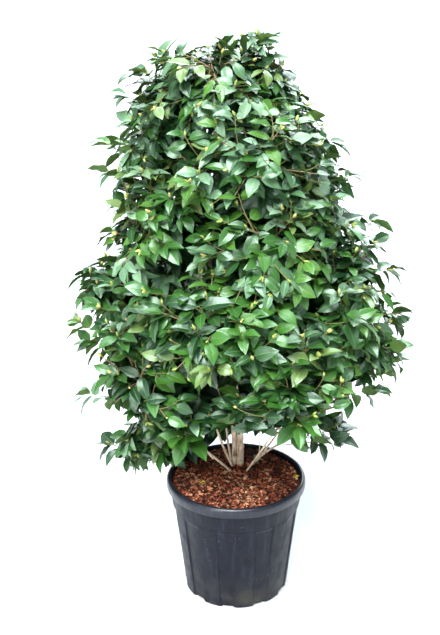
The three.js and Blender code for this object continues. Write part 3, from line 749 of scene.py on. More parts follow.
masses = makeMasses()
limbs = [makeStem("trunk"), makeStem("second_stem")]
standing = {"top_foliage_1": limbs[0], "high_foliage_1": limbs[1]}  # masses straight on the ends of the stems
carriers = []
for mass in masses:
    far = [np.linalg.norm(pointAtHeight(stem, mass["heart"][2]) - mass["heart"]) for stem in limbs]
    nearer = limbs[1] if far[1] < far[0] - bough["secondNearerBy"] else limbs[0]
    carriers.append(standing[mass["name"]] if mass["name"] in standing else makeBough(mass, nearer))
boughs = [carrier for carrier in carriers if carrier["name"] not in stems]
print(f"{len(masses)} masses on {len(boughs)} boughs and 2 stems")

bark = {
    "slimmer": 0.60,  # boughs that rise from the ground are this much slimmer than their solids
    "sides": 20,
    "step": 0.006,  # between rings
    "ridge": 0.10,  # of the radius
    "knots": 0.16,
    "spacing": 0.045,
    "knotWidth": 0.12,  # of the spacing
    "stretch": np.array([1, 1, 0.35]),  # draws the ridges out along an upright limb
    "paleColor": tint(242, 225, 200),
    "darkColor": tint(186, 158, 130),
    "fleckColor": tint(134, 108, 84),
}


def barkFinish():
    # pale bark mottled with a darker tone, with darker flecks along it
    finish = Finish("smoothBark", bark["paleColor"], 0.75, specular=0.3)
    tone = finish.pattern(mottle, Scale=26.0, Detail=5.0)
    flecks = finish.pattern(speckle, Scale=120.0, Stretch=(1.0, 1.0, 0.3), Threshold=0.56, Softness=0.12)
    base = finish.mixColor(bark["darkColor"], bark["paleColor"], tone)
    finish.set({"Base Color": finish.mixColor(base, bark["fleckColor"], flecks)})
    finish.bump(190.0, 5.0, 0.5, 0.0012)
    return finish.material


def makeLimb(name, points, radii, seed):
    # a tube whose radius swells at knots and carries lengthwise ridges of noise
    stations = max(int(np.linalg.norm(np.diff(points, axis=0), axis=1).sum() / bark["step"]), 12)
    share = np.linspace(0, 1, len(points))
    fine = np.linspace(0, 1, stations)
    path = resample(fine, share, points)
    radius = np.interp(fine, share, radii)
    run = np.concatenate([[0], np.cumsum(np.linalg.norm(np.diff(path, axis=0), axis=1))])
    knots = np.exp(-(((run / bark["spacing"] + 0.5) % 1 - 0.5) / bark["knotWidth"]) ** 2)
    radius = radius * (1 + bark["knots"] * knots * (0.5 + 0.5 * np.sin(7.3 * run / bark["spacing"] + seed)))
    rings = tubeRings(path[None], radius[None], bark["sides"])[0]
    relief = ripple((rings * bark["stretch"]).reshape(-1, 3), 0.011, seed).reshape(rings.shape[:2])
    relief = relief + 0.5 * ripple(rings.reshape(-1, 3), 0.005, seed + 50).reshape(rings.shape[:2])
    rings = path[:, None] + (rings - path[:, None]) * (1 + bark["ridge"] * relief - 0.02)[..., None]
    return putMesh(name, rings, tubeFaces(1, stations, bark["sides"]), [barkMaterial], sharpAngle=60)


barkMaterial = barkFinish()
for index, limb in enumerate(limbs + boughs):
    above = limb["points"][:, 2] > stemFoot[2] - 0.006
    radii = limb["radii"][above] * (bark["slimmer"] if limb["name"].startswith("skirt") else 1)
    piece = makeLimb(limb["name"] + "_bark", limb["points"][above], radii, index + 1)
    total += handOver(piece, [limb["name"]])

groundShoots = {  # thin young stems round the foot, as knots and a foot and a tip radius
    "steepLeft": ([[-0.004, 0.066, 0.392], [-0.036, 0.050, 0.475],
                   [-0.062, 0.030, 0.560], [-0.090, 0.000, 0.690]], (0.0050, 0.0030)),
    "forkLeft": ([[-0.078, 0.034, 0.459], [-0.112, 0.020, 0.505],
                  [-0.140, 0.000, 0.560], [-0.160, -0.030, 0.650]], (0.0042, 0.0026)),
    "behindLeft": ([[-0.012, 0.100, 0.392], [-0.026, 0.104, 0.470],
                    [-0.040, 0.110, 0.580], [-0.070, 0.120, 0.720]], (0.0042, 0.0026)),
    "right": ([[0.044, 0.072, 0.392], [0.088, 0.060, 0.456],
               [0.150, 0.040, 0.512], [0.240, 0.000, 0.580]], (0.0048, 0.0028)),
    "uprightRight": ([[0.074, 0.078, 0.392], [0.079, 0.080, 0.440],
                      [0.083, 0.078, 0.490], [0.080, 0.076, 0.600]], (0.0020, 0.0013)),
    "tuft": ([[0.036, 0.030, 0.396], [0.052, 0.052, 0.419], [0.074, 0.078, 0.432]], (0.0012, 0.0008)),
}
for index, (knots, radii) in enumerate(groundShoots.values()):
    path = centripetal(knots, 40)
    name = f"ground_shoot_{index + 1}_bark"
    total += handOver(makeLimb(name, path, np.linspace(*radii, len(path)), 60 + index))

twig = {  # the source's main twigs, carried on to finer shoots
    "stations": 9,
    "stemRadii": (0.0040, 0.0024),
    "mainRadii": (0.0026, 0.0013),
    "shootRadii": (0.0017, 0.0010),
    "stalkRadii": (0.0011, 0.0006),
    "reach": (0.95, 1.05),
    "tries": 40,  # ends for a main twig, from its full reach down to the shortest
    "shortest": 0.4,
    "leastSpan": 0.05,
    "leafRoom": 0.040,  # left between a shoot's tip and the ball's surface
    "inset": {"sides": 0.024, "top": 0.014, "hem": 0.035},
    "shootsPerTwig": 9,
    "shootFrom": (0.18, 0.90),  # of the twig
    "shootLength": (0.07, 0.14),
    "shootShare": (1.15, 0.75),  # of that length, from the twig's foot to its tip
    "spread": 0.95,
    "climb": 0.32,
    "slack": 0.045,  # past the border with a neighbouring mass
    "inmost": -0.55,  # of the ball's radius, on the side away from the mass's own direction
    "sprigsPerMass": 24,
    "sprigLength": (0.06, 0.13),
    "barkColor": tint(114, 98, 74),
    "youngColor": tint(104, 104, 56),
}
alongTwig = np.linspace(0, 1, twig["stations"])


def frameAlong(paths, index, place):
    # the point at a place between two stations of a path, the direction ahead, and two square to it
    low = np.minimum(place.astype(int), twig["stations"] - 2)
    root = blendTo(paths[index, low], paths[index, low + 1], (place - low)[:, None])
    ahead = unit(paths[index, low + 1] - paths[index, low])
    side = unit(np.cross(ahead, up + 0.01))
    return root, ahead, side, np.cross(ahead, side)


def mainTwigs(mass, carrier, draw):
    # from the mass's stem to tips near its ball's surface, in the source's directions
    before, tip = carrier["points"][-2:]
    start = tip + 0.0003 * unit(tip - before)
    end = mass["heart"] + mass["outward"] * growth["stemPast"] * mass["ball"]
    along = unit(end - start)
    ways = ballDirections(growth["directions"], fullTurn * next(draw))
    draws = np.array([next(draw) for _ in range(2 * len(ways))])  # two a twig: the first sets its reach
    reach = mass["ball"] * blendTo(*twig["reach"], draws[::2]) - twig["leafRoom"]
    outs = reach[:, None] * np.linspace(1, twig["shortest"], twig["tries"])
    tries = mass["heart"] + outs[..., None] * ways[:, None]
    inside = inCrown(tries, **twig["inset"])
    first = np.where(inside.any(1), inside.argmax(1), twig["tries"] - 1)
    tips = tries[np.arange(len(ways)), first]
    share = blendTo(*growth["roots"], (1 + ways @ along) / 2)
    roots = blendTo(start, end, share[:, None])
    span = np.linalg.norm(tips - roots, axis=1, keepdims=True)
    crest = blendTo(roots, tips, growth["bend"]) + along * growth["arch"] * span
    paths = alongBezier(roots, crest, tips, alongTwig)
    keep = (ways @ mass["outward"] > growth["inward"]) & inOwnSpace(paths, mass).all(1)
    return start, end, paths[keep & (span[:, 0] > twig["leastSpan"])]


def sideShoots(mass, paths, rng):
    # from along each main twig, turned a golden turn on each time, out and up
    count = twig["shootsPerTwig"]
    index = np.repeat(np.arange(len(paths)), count)
    step = np.tile(np.arange(count), len(paths))
    share = blendTo(*twig["shootFrom"], (step + rng.uniform(0.1, 0.9, len(index))) / count)
    root, ahead, side, across = frameAlong(paths, index, share * (twig["stations"] - 1))
    turn = goldenTurn * step + np.repeat(fullTurn * rng.random(len(paths)), count)
    way = unit(ahead + twig["spread"] * spokes(turn, side, across) + twig["climb"] * up)
    length = rng.uniform(*twig["shootLength"], len(index)) * blendTo(*twig["shootShare"], share)
    tip = root + way * length[:, None]
    crest = blendTo(root, tip, 0.5) + 0.12 * length[:, None] * (ahead - 0.3 * up)
    shoots = alongBezier(root, crest, tip, alongTwig)
    keep = inCrown(tip, **twig["inset"]) & inOwnSpace(tip, mass, twig["slack"])
    keep &= (tip - mass["heart"]) @ mass["outward"] > twig["inmost"] * mass["ball"]
    return shoots[keep], index[keep]


longShoots = {  # single shoots that stand out of the crown: their furthest leaf tips
    "tips": np.array([
        [0.098, 0.000, 1.888], [0.072, -0.020, 1.878], [0.112, 0.010, 1.866], [-0.080, 0.010, 1.862],
        [-0.185, -0.010, 1.842], [-0.040, -0.020, 1.870], [-0.250, 0.000, 1.842], [0.150, 0.010, 1.812],
        [-0.315, 0.000, 1.785], [-0.368, 0.010, 1.705], [0.248, 0.020, 1.680], [-0.345, -0.040, 1.640],
        [0.320, 0.000, 1.572], [-0.425, -0.010, 1.566], [0.388, -0.030, 1.475], [-0.428, 0.020, 1.475],
        [0.365, 0.030, 1.415], [-0.390, 0.000, 1.385], [0.462, 0.010, 1.322], [-0.422, 0.000, 1.290],
        [0.470, 0.020, 1.250], [0.522, 0.000, 1.168], [-0.518, -0.010, 1.155], [0.558, 0.000, 1.020],
        [-0.545, 0.010, 0.988], [0.550, 0.020, 0.980], [-0.510, 0.000, 0.920], [0.562, 0.010, 0.855],
        [-0.530, -0.010, 0.742], [0.490, 0.020, 0.745], [0.374, 0.000, 0.618], [0.372, -0.020, 0.590],
        [-0.470, 0.000, 0.548], [0.330, 0.060, 0.612], [0.084, -0.010, 1.889], [-0.055, -0.030, 1.866],
        [-0.022, -0.030, 1.860], [-0.225, -0.020, 1.852], [-0.285, -0.020, 1.792], [0.235, -0.030, 1.642],
        [0.175, -0.020, 1.757],
    ]),
    "around": 34,  # more of them, a golden turn apart, between the lowest and the highest
    "aroundHeights": (0.55, 1.80),
    "aroundTurn": 0.9,
    "radii": np.linspace(0.05, 0.62, 60),  # tried for those, out to the crown's outline
    "leastReach": 0.1,
    "span": 0.17,
    "rise": 0.45,
    "topRise": 2.2,  # more than that round the top
    "topFrom": 1.72,
    "topOver": 0.15,
    "leafRoom": 0.042,
    "seed": 31,
}


def growLongShoots():
    # each runs outward and up to its tip, from a point back towards the axis, and belongs to the nearest mass
    s = longShoots
    rng = np.random.default_rng(s["seed"])
    count = s["around"]
    z = blendTo(*s["aroundHeights"], (np.arange(count) + rng.random(count)) / count)
    spoke = polar(1.0, goldenTurn * np.arange(count) + s["aroundTurn"], 0.0)
    tries = crown["axis"] + s["radii"][:, None, None] * spoke + up * z[:, None]
    reach = np.where(inCrown(tries, plain=True), s["radii"][:, None], 0).max(0)
    around = crown["axis"] + spoke * reach[:, None] + up * z[:, None]
    tips = np.concatenate([s["tips"], around[reach > s["leastReach"]]])
    out = unit((tips - crown["axis"]) * [1, 1, 0])
    climb = s["rise"] + s["topRise"] * ease((tips[:, 2:] - s["topFrom"]) / s["topOver"])
    end = tips - s["leafRoom"] * unit(out + climb * up)
    start = end - s["span"] * unit(out + 0.55 * climb * up + 0.15 * rng.normal(size=tips.shape))
    crest = blendTo(start, end, 0.5) + 0.02 * out - 0.012 * up
    paths = alongBezier(start, crest, end, alongTwig)
    hearts = np.array([mass["heart"] for mass in masses])
    owner = np.linalg.norm(paths[:, twig["stations"] // 2, None] - hearts, axis=-1).argmin(1)
    return paths, owner


def stemSprigs(stem, rng):
    # short leafy sprigs on a mass's own stem and its bough's end, so that the inside fills with leaves;
    # growLeaves gives them all the darkest tone, as painted shade
    count = twig["sprigsPerMass"]
    root = frameAlong(stem, 0, rng.random(count) * (twig["stations"] - 1.001))[0]
    way = unit(rng.normal(size=(count, 3)) + 0.2 * up)
    tip = root + way * rng.uniform(*twig["sprigLength"], (count, 1))
    sprigs = alongBezier(root, (root + tip) / 2 + 0.008 * up, tip, alongTwig)
    return sprigs[inCrown(tip, **twig["inset"])]


twigMaterials = [
    reliefFinish("twigBark", twig["barkColor"], 0.7, (320.0, 4.0, 0.4, 0.0008), specular=0.3),
    reliefFinish("youngShoot", twig["youngColor"], 0.55, (320.0, 4.0, 0.3, 0.0006), specular=0.4),
]
grown = []
longPaths, longOwners = growLongShoots()
for index, (mass, carrier) in enumerate(zip(masses, carriers)):
    rng = np.random.default_rng(500 + index)
    start, end, mains = mainTwigs(mass, carrier, seededDraw(index + 1))
    shoots, parents = sideShoots(mass, mains, rng)
    stem = alongBezier(start[None], mass["heart"][None], end[None], alongTwig)
    grown.append({"mass": mass, "rng": rng, "stem": stem, "mains": mains, "parents": parents,
                  "shoots": np.concatenate([shoots, stemSprigs(stem, rng)]), "outer": len(shoots),
                  "long": longPaths[longOwners == index]})
mainTotal, shootTotal = [sum(len(g[key]) for g in grown) for key in ("mains", "shoots")]
print("twigs:", mainTotal, "main,", shootTotal, "side shoots")

leaf = {
    "length": (0.056, 0.080),
    "slender": (0.54, 0.64),  # width over length
    "petiole": 0.007,
    "fold": (16, 38),  # degrees that each half stands up from flat
    "arc": (0.30, 1.00),  # radians that the midrib turns down from base to tip
    "curl": (0.12, 0.40),
    "wave": 0.7,  # of the curl, at most
    "waves": 2.2,  # along a leaf
    "keel": 0.0005,
    "rowMain": np.array([0.40, 0.52, 0.63, 0.74, 0.83, 0.90, 0.95, 0.985]),  # where leaves stand on a shoot
    "rowShoot": np.array([0.30, 0.48, 0.64, 0.78, 0.89, 0.95, 0.99]),
    "rowLong": np.array([0.30, 0.46, 0.60, 0.73, 0.84, 0.92, 0.97, 0.995]),
    "turnStray": 0.18,
    "leanOuter": 38,
    "leanInner": 74,
    "leanStray": 9,
    "sag": 0.30,
    "sagByAge": (0.5, 1.2),
    "steepest": 0.62,
    "highest": 0.40,
    "topStands": 0.52,  # more than that round the top, the only place where leaves stand up
    "topFrom": 1.70,
    "topOver": 0.12,
    "fromOutside": 0.42,
    "fromAbove": 0.90,
    "fromHeart": 0.35,
    "unrest": 0.34,  # how far the leaves' faces stray from that
    "tipSize": 0.86,  # of the leaves at a shoot's tip, against those at its foot
    "innerSize": 1.3,  # of the leaves next to the stems, where they are shaded
    "longSize": 1.14,
    "lowerSize": 1.14,  # of the leaves low down, against those high up
    "upperSize": 0.98,
    "sizeFrom": 0.70,
    "sizeOver": 0.80,
    "boxRoom": np.array([0.006, 0.012, 0.001]),
    "leastShare": 0.6,  # of its length that the box may leave to a leaf; the others go
    "shineColor": (0.62, 1.0, 0.72, 1.0),
    "looks": {"top": (0.42, 0.75, 55.0, 0.3), "rib": (0.45, 0.1, 55.0, 0.2), "under": (0.6, 0.0, 70.0, 0.3)},
    # the last three top colours, pale blue-grey greens, are painted sky sheen
    "topColors": [(39, 82, 24), (27, 62, 21), (50, 95, 28), (15, 48, 18), (60, 102, 32), (84, 107, 52),
                  (64, 98, 66), (82, 115, 86), (100, 130, 100)],
    "ribColors": [(78, 110, 58), (116, 142, 72)],
    "underColors": [(80, 104, 50), (68, 92, 44), (96, 120, 58)],
    "ribOfTop": np.array([0, 0, 0, 0, 1, 1, 1, 1, 1]),  # which rib and which underside go with each top
    "underOfTop": np.array([0, 1, 0, 1, 2, 2, 0, 2, 2]),
    # the darkest top colour, given to every inside sprig as painted shade
    "innerShadeTone": 3,
    "greenTones": np.array([0.22, 0.27, 0.16, 0.22, 0.08, 0.05, 0, 0, 0]),  # how often each colour is dealt
    "sheenTones": np.array([0.09, 0.10, 0.11, 0.10, 0.10, 0.06, 0.17, 0.17, 0.10]),
    "sheenShare": np.array([[0.62, 0.80, 1.10, 1.31, 1.54, 1.74],  # by height: more of the pale blue-grey tones higher up, as painted sky sheen
                           [0.4, 0.0, 0.0, 0.6, 1.0, 1.0]]),
}
leafStations = np.array([0.0, 0.09, 0.27, 0.50, 0.72, 0.89, 1.0])
leafColumns = np.array([-1.0, -0.52, -0.04, 0.04, 0.52, 1.0])


def halfWidth(u):
    # u^0.68 (1-u)^1.12, scaled to 1 where it is broadest: an oval with a rounded foot and a drawn-out tip
    peak = 0.68 / (0.68 + 1.12)
    return (u / peak) ** 0.68 * ((1 - u) / (1 - peak)) ** 1.12


def midrib(length, arc, u):
    # an arc that turns down by `arc`: forward with the sine of the turn so far, down with 1 less its cosine
    bend = arc * u
    return bend, length * np.sin(bend) / arc, -length * (1 - np.cos(bend)) / arc


def leafPoints(s):
    # about its midrib, each half rises by its fold and curls back by its width squared
    u = leafStations[1:-1][None, :, None]
    v = leafColumns[None, None, :]
    keys = ("length", "width", "arc", "fold", "curl", "wave", "phase")
    value = {key: s[key][:, None, None] for key in keys}
    bend, x, z = midrib(value["length"], value["arc"], u)
    half = 0.5 * value["width"] * halfWidth(u)
    y = v * half * np.cos(value["fold"])
    waves = np.sin(fullTurn * leaf["waves"] * u + value["phase"] + 1.3 * v)
    curl = value["curl"] * (1 + value["wave"] * waves)
    lift = np.abs(v) * half * np.sin(value["fold"]) - curl * v ** 2 * half
    top = np.stack([x + lift * np.sin(bend), y + 0 * x, z + lift * np.cos(bend)], -1)
    keel = np.stack([x - leaf["keel"] * np.sin(bend), 0 * x, z - leaf["keel"] * np.cos(bend)], -1)
    bend, x, z = midrib(s["length"], s["arc"], 1)
    tip = np.stack([x, 0 * x, z], -1)
    body = np.concatenate([top, keel], 2).reshape(len(tip), -1, 3)
    local = np.concatenate([np.zeros((len(tip), 1, 3)), body, tip[:, None]], 1)
    return (s["root"][:, None] + local[..., :1] * s["along"][:, None]
            + local[..., 1:2] * s["side"][:, None] + local[..., 2:] * s["face"][:, None])


def leafFaces():
    # one leaf: bands of quads above and below, and fans at its foot and tip; 0 top, 1 midrib, 2 underside
    rows, wide = len(leafStations) - 2, len(leafColumns)
    each = wide + 1
    tipAt = 1 + rows * each
    quads, quadKinds, fans, fanKinds = [], [], [], []
    kinds = [0, 0, 1, 0, 0]
    under = [(wide - 1, wide), (wide, 0)]
    widening = np.diff(halfWidth(leafStations[1:-1])) > 0

    def at(i, j):
        # the vertex at a station and a column; the foot is vertex 0
        return 1 + i * each + j

    for i in range(rows - 1):
        for j in range(wide - 1):
            quads.append([at(i, j), at(i + 1, j), at(i + 1, j + 1), at(i, j + 1)])
            quadKinds.append(kinds[j])
        for a, b in under:  # split along the diagonal that leaves the underside below the top
            corners = [at(i, a), at(i + 1, a), at(i + 1, b), at(i, b)]
            turnOn = int(widening[i] != (a != wide))
            corners = corners[turnOn:] + corners[:turnOn]
            fans += [[corners[0], corners[1], corners[2]], [corners[0], corners[2], corners[3]]]
            fanKinds += [2, 2]
    for j in range(wide - 1):
        fans += [[0, at(0, j), at(0, j + 1)], [tipAt, at(rows - 1, j + 1), at(rows - 1, j)]]
        fanKinds += [kinds[j], kinds[j]]
    for a, b in under:
        fans += [[0, at(0, a), at(0, b)], [tipAt, at(rows - 1, b), at(rows - 1, a)]]
        fanKinds += [2, 2]
    return np.array(quads), np.array(quadKinds), np.array(fans), np.array(fanKinds), tipAt + 1


def leavesOn(paths, row, radius, mass, rng):
    # leaves at shares `row` of each shoot, a golden turn apart; young ones lean forward, older ones out
    count, per = len(paths), len(row)
    index = np.repeat(np.arange(count), per)
    root, ahead, side, across = frameAlong(paths, index, np.tile(row, count) * (twig["stations"] - 1))
    turn = goldenTurn * np.tile(np.arange(per), count) + np.repeat(fullTurn * rng.random(count), per)
    n = len(turn)
    turn = turn + rng.normal(0, leaf["turnStray"], n)
    aged = 1 - np.tile((row - row[0]) / (row[-1] - row[0]), count)
    lean = blendTo(leaf["leanOuter"], leaf["leanInner"], aged ** 0.8) + rng.normal(0, leaf["leanStray"], n)
    lean = np.radians(lean)
    droop = leaf["sag"] * blendTo(*leaf["sagByAge"], aged)[:, None]
    along = unit(spokes(lean, ahead, spokes(turn, side, across)) - droop * up)
    highest = leaf["highest"] + leaf["topStands"] * ease((root[:, 2] - leaf["topFrom"]) / leaf["topOver"])
    level = np.linalg.norm(along[:, :2], axis=1)
    along[:, 2] = np.clip(along[:, 2], -leaf["steepest"], highest)
    along[:, :2] *= (np.sqrt(1 - np.minimum(along[:, 2], 0.98) ** 2) / np.maximum(level, 0.05))[:, None]
    along = unit(along)
    stray = rng.normal(0, leaf["unrest"], (n, 3))
    light = leaf["fromOutside"] * mass["outward"] + leaf["fromAbove"] * up + stray
    light = light + leaf["fromHeart"] * unit(root - mass["heart"])
    face = unit(light - (light * along).sum(-1, keepdims=True) * along)
    length = rng.uniform(*leaf["length"], n) * blendTo(1.0, leaf["tipSize"], 1 - aged)
    heightShare = ease((root[:, 2] - leaf["sizeFrom"]) / leaf["sizeOver"])
    length = length * blendTo(leaf["lowerSize"], leaf["upperSize"], heightShare)
    return {
        "root": root + along * (leaf["petiole"] + radius), "stalk": root, "along": along, "face": face,
        "side": np.cross(face, along), "length": length, "width": length * rng.uniform(*leaf["slender"], n),
        "arc": rng.uniform(*leaf["arc"], n), "fold": np.radians(rng.uniform(*leaf["fold"], n)),
        "curl": rng.uniform(*leaf["curl"], n), "wave": leaf["wave"] * rng.random(n),
        "phase": rng.uniform(0, fullTurn, n), "shoot": index,
    }


def leafFinish(name, colour, roughness, coat, bumpScale, strength):
    # a waxy green whose shine is tinted green too, under a broad relief
    finish = Finish(name, tint(*colour), roughness, coat=coat, coatRoughness=0.36)
    finish.set({"Specular Tint": leaf["shineColor"]})
    finish.bump(bumpScale, 2.0, strength, 0.0025)
    return finish.material


leafMaterials = []
for side, look in leaf["looks"].items():
    for i, colour in enumerate(leaf[side + "Colors"]):
        leafMaterials.append(leafFinish(f"leaf{side.title()}{i + 1}", colour, *look))
topCount = len(leaf["topColors"])
firstUnder = topCount + len(leaf["ribColors"])
slotOfKind = np.stack([np.arange(topCount), topCount + leaf["ribOfTop"], firstUnder + leaf["underOfTop"]])
quadPattern, quadKinds, fanPattern, fanKinds, leafVertices = leafFaces()


def joinSets(sets):
    # sets of leaves end to end, value by value
    return {key: np.concatenate([s[key] for s in sets]) for key in sets[0]}


def growLeaves(g):
    # leaves on every shoot, drawn in to the solids' box; past the crown's outline only the long shoots' stay
    mass, rng = g["mass"], g["rng"]
    onMains = leavesOn(g["mains"], leaf["rowMain"], twig["mainRadii"][1], mass, rng)
    onShoots = leavesOn(g["shoots"], leaf["rowShoot"], twig["shootRadii"][1], mass, rng)
    onLong = leavesOn(g["long"], leaf["rowLong"], twig["shootRadii"][1], mass, rng)
    inner = onShoots["shoot"] >= g["outer"]
    for key in ("length", "width"):
        onShoots[key][inner] *= leaf["innerSize"]
        onLong[key] *= leaf["longSize"]
    mainCount, shootCount = len(g["mains"]), len(g["shoots"])
    onShoots["shoot"] = onShoots["shoot"] + mainCount
    onLong["shoot"] = onLong["shoot"] + mainCount + shootCount
    tones = blendTo(leaf["greenTones"], leaf["sheenTones"], np.interp(mass["heart"][2], *leaf["sheenShare"]))
    palette = rng.choice(topCount, mainCount + shootCount + len(g["long"]), p=tones)
    palette[mainCount + g["outer"]:mainCount + shootCount] = leaf["innerShadeTone"]  # the sprigs inside all take the darkest tone: painted shade inside the crown
    for s in (onMains, onShoots, onLong):
        s["free"] = np.full(len(s["length"]), s is onLong)
    leaves = joinSets([onMains, onShoots, onLong])
    leaves["tone"] = palette[leaves["shoot"]]
    reach = leaves["along"] * leaves["length"][:, None]
    tip = leaves["root"] + reach - up * 0.2 * leaves["length"][:, None]
    low, high = [np.array(corner) for corner in cadBox]
    side = np.where(reach > 0, high - leaf["boxRoom"], low + leaf["boxRoom"])
    room = (side - leaves["root"]) / np.where(np.abs(reach) > 1e-4, reach, 1e-4)
    share = np.minimum(room.min(-1), 1)  # of its length, to stay in the solids' box
    for key in ("length", "width"):
        leaves[key] = leaves[key] * share
    keep = (share > leaf["leastShare"]) & (inCrown(tip) | leaves["free"])
    return {key: value[keep] for key, value in leaves.items()}


def dropBare(g, leaves):
    # shoots with no leaf go, and main twigs with neither a leaf nor a leafy shoot
    mainCount, shootCount = len(g["mains"]), len(g["shoots"])
    leafy = np.bincount(leaves["shoot"], minlength=mainCount + shootCount + len(g["long"])) > 0
    leafyShoots = leafy[mainCount:mainCount + shootCount]
    leafyMains = leafy[:mainCount].copy()
    leafyMains[g["parents"][leafyShoots[:g["outer"]]]] = True
    g["mains"], g["shoots"] = g["mains"][leafyMains], g["shoots"][leafyShoots]
    g["long"] = g["long"][leafy[mainCount + shootCount:]]


def putLeaves(name, s):
    # one mesh of all the leaves: the pattern of faces, shifted on by a leaf's vertices each time
    shift = leafVertices * np.arange(len(s["length"]))[:, None, None]
    quads = (quadPattern[None] + shift).reshape(-1, 4)
    fans = (fanPattern[None] + shift).reshape(-1, 3)
    slots = np.concatenate([slotOfKind[kinds][:, s["tone"]].T.ravel() for kinds in (quadKinds, fanKinds)])
    return putMesh(name, leafPoints(s), [quads, fans], leafMaterials, slots, sharpAngle=65)


def putTwigs(name, g, leaves):
    # the mass's stem, its main twigs, its shoots, and a stalk to each leaf, thinner evenly to their tips
    fine = np.concatenate([g["shoots"], g["long"]])
    stalks = np.stack([leaves["stalk"], leaves["root"] + 0.0015 * leaves["along"]], 1)
    points, faces, slots, shift = [], [], [], 0
    for paths, kind, sides, slot in ((g["stem"], "stem", 8, 0), (g["mains"], "main", 6, 0),
                                     (fine, "shoot", 5, 1), (stalks, "stalk", 3, 1)):
        count, stations = paths.shape[:2]
        radii = np.tile(np.linspace(*twig[kind + "Radii"], stations), (count, 1))
        groups = tubeFaces(count, stations, sides)
        points.append(tubeRings(paths, radii, sides).reshape(-1, 3))
        faces += [group + shift for group in groups]
        slots += [np.full(len(group), slot) for group in groups]
        shift += count * stations * sides
    return putMesh(name, np.concatenate(points), faces, twigMaterials, np.concatenate(slots), sharpAngle=70)


bud = {
    "share": 0.62,  # of the shoots that bear buds at their tips
    "each": (1, 4),  # buds on those, the second number left out
    "fan": 0.42,
    "climb": 0.15,
    "length": (0.013, 0.022),
    "broad": 0.50,
    "stations": 5,
    "sides": 5,
    "colors": {"budGreen": tint(128, 142, 66), "budYellow": tint(170, 168, 98),
               "budFallen": tint(214, 202, 60)},
    "greenAndYellow": [0.55, 0.45],
}
budMaterials = [reliefFinish(name, colour, 0.45, (260.0, 2.0, 0.5, 0.0012), specular=0.4)
                for name, colour in bud["colors"].items()]


def putBudsAt(name, feet, ways, length, slots):
    # a pointed egg: its radius follows sin(pi u^0.75) to the power 0.8 along its length
    share = np.linspace(0, 1, bud["stations"])
    paths = feet[:, None] + ways[:, None] * length[:, None, None] * share[None, :, None]
    profile = np.sin(math.pi * np.clip(share, 0.03, 0.995) ** 0.75) ** 0.8
    points = tubeRings(paths, 0.5 * bud["broad"] * length[:, None] * profile, bud["sides"])
    faces = tubeFaces(len(feet), bud["stations"], bud["sides"])
    return putMesh(name, points, faces, budMaterials, tubeSlots(slots, bud["stations"], bud["sides"]))


def putBuds(name, g):
    # one to three buds at the tips of most shoots, fanned out about the shoot's own direction
    rng = g["rng"]
    ends = np.concatenate([g[key][:, -2:] for key in ("mains", "shoots", "long")])
    ends = ends[rng.random(len(ends)) < bud["share"]]
    ends = np.repeat(ends, rng.integers(*bud["each"], len(ends)), axis=0)
    ahead = unit(ends[:, 1] - ends[:, 0])
    way = unit(ahead + rng.normal(0, bud["fan"], ahead.shape) + bud["climb"] * up)
    length = rng.uniform(*bud["length"], len(ends))
    return putBudsAt(name, ends[:, 1], way, length, rng.choice(2, len(ends), p=bud["greenAndYellow"]))


fallen = {
    "heaps": np.array([[-0.1150, -0.042], [0.211, -0.006]]),
    "each": 7,
    "spread": 0.0032,
    "above": 0.007,  # the bed
    "length": (0.009, 0.013),
    "slot": 2,
    "seed": 7,
}


def putFallenBuds():
    # small heaps of dropped buds on the bed
    rng = np.random.default_rng(fallen["seed"])
    heaps = np.repeat(fallen["heaps"], fallen["each"], axis=0)
    flat = heaps + rng.normal(0, fallen["spread"], heaps.shape)
    feet = np.concatenate([flat, bedHeight(*flat.T)[:, None] + fallen["above"]], 1)
    ways = unit(rng.normal(size=feet.shape) * [1, 1, 0.5] + 0.5 * up)
    length = rng.uniform(*fallen["length"], len(feet))
    return putBudsAt("fallen_buds", feet, ways, length, np.full(len(feet), fallen["slot"]))


tuft = {
    "row": np.array([0.70, 0.82, 0.90, 0.96, 0.99]),  # of its shoot, where its leaves stand
    "length": (0.024, 0.036),
    "slender": 0.6,
    "petiole": 0.003,
    # the palest painted-sheen colour: painted light on a tuft that sits in the crown's shade
    "tone": 8,
    "seed": 9,
}


def putTuft():
    # a few young leaves on the thin shoot that lies on the bed
    rng = np.random.default_rng(tuft["seed"])
    path = centripetal(groundShoots["tuft"][0], twig["stations"] - 1)[None]
    leaves = leavesOn(path, tuft["row"], 0.001, {"outward": up, "heart": path[0, 0]}, rng)
    leaves["length"] = rng.uniform(*tuft["length"], len(leaves["length"]))
    leaves["width"] = tuft["slender"] * leaves["length"]
    leaves["root"] = leaves["stalk"] + tuft["petiole"] * leaves["along"]
    leaves["tone"] = np.full(len(leaves["length"]), tuft["tone"])
    return putLeaves("tuft_leaves", leaves)


leafCount = 0
for g in grown:
    node = g["mass"]["name"]
    leaves = growLeaves(g)
    dropBare(g, leaves)
    leafCount += len(leaves["length"])
    total += handOver(putLeaves(node + "_leaves", leaves), [node])
    total += handOver(putTwigs(node + "_twigs", g, leaves))
    total += handOver(putBuds(node + "_buds", g))
total += handOver(putFallenBuds())
total += handOver(putTuft())
print(f"{leafCount} leaves; {total} triangles in all")

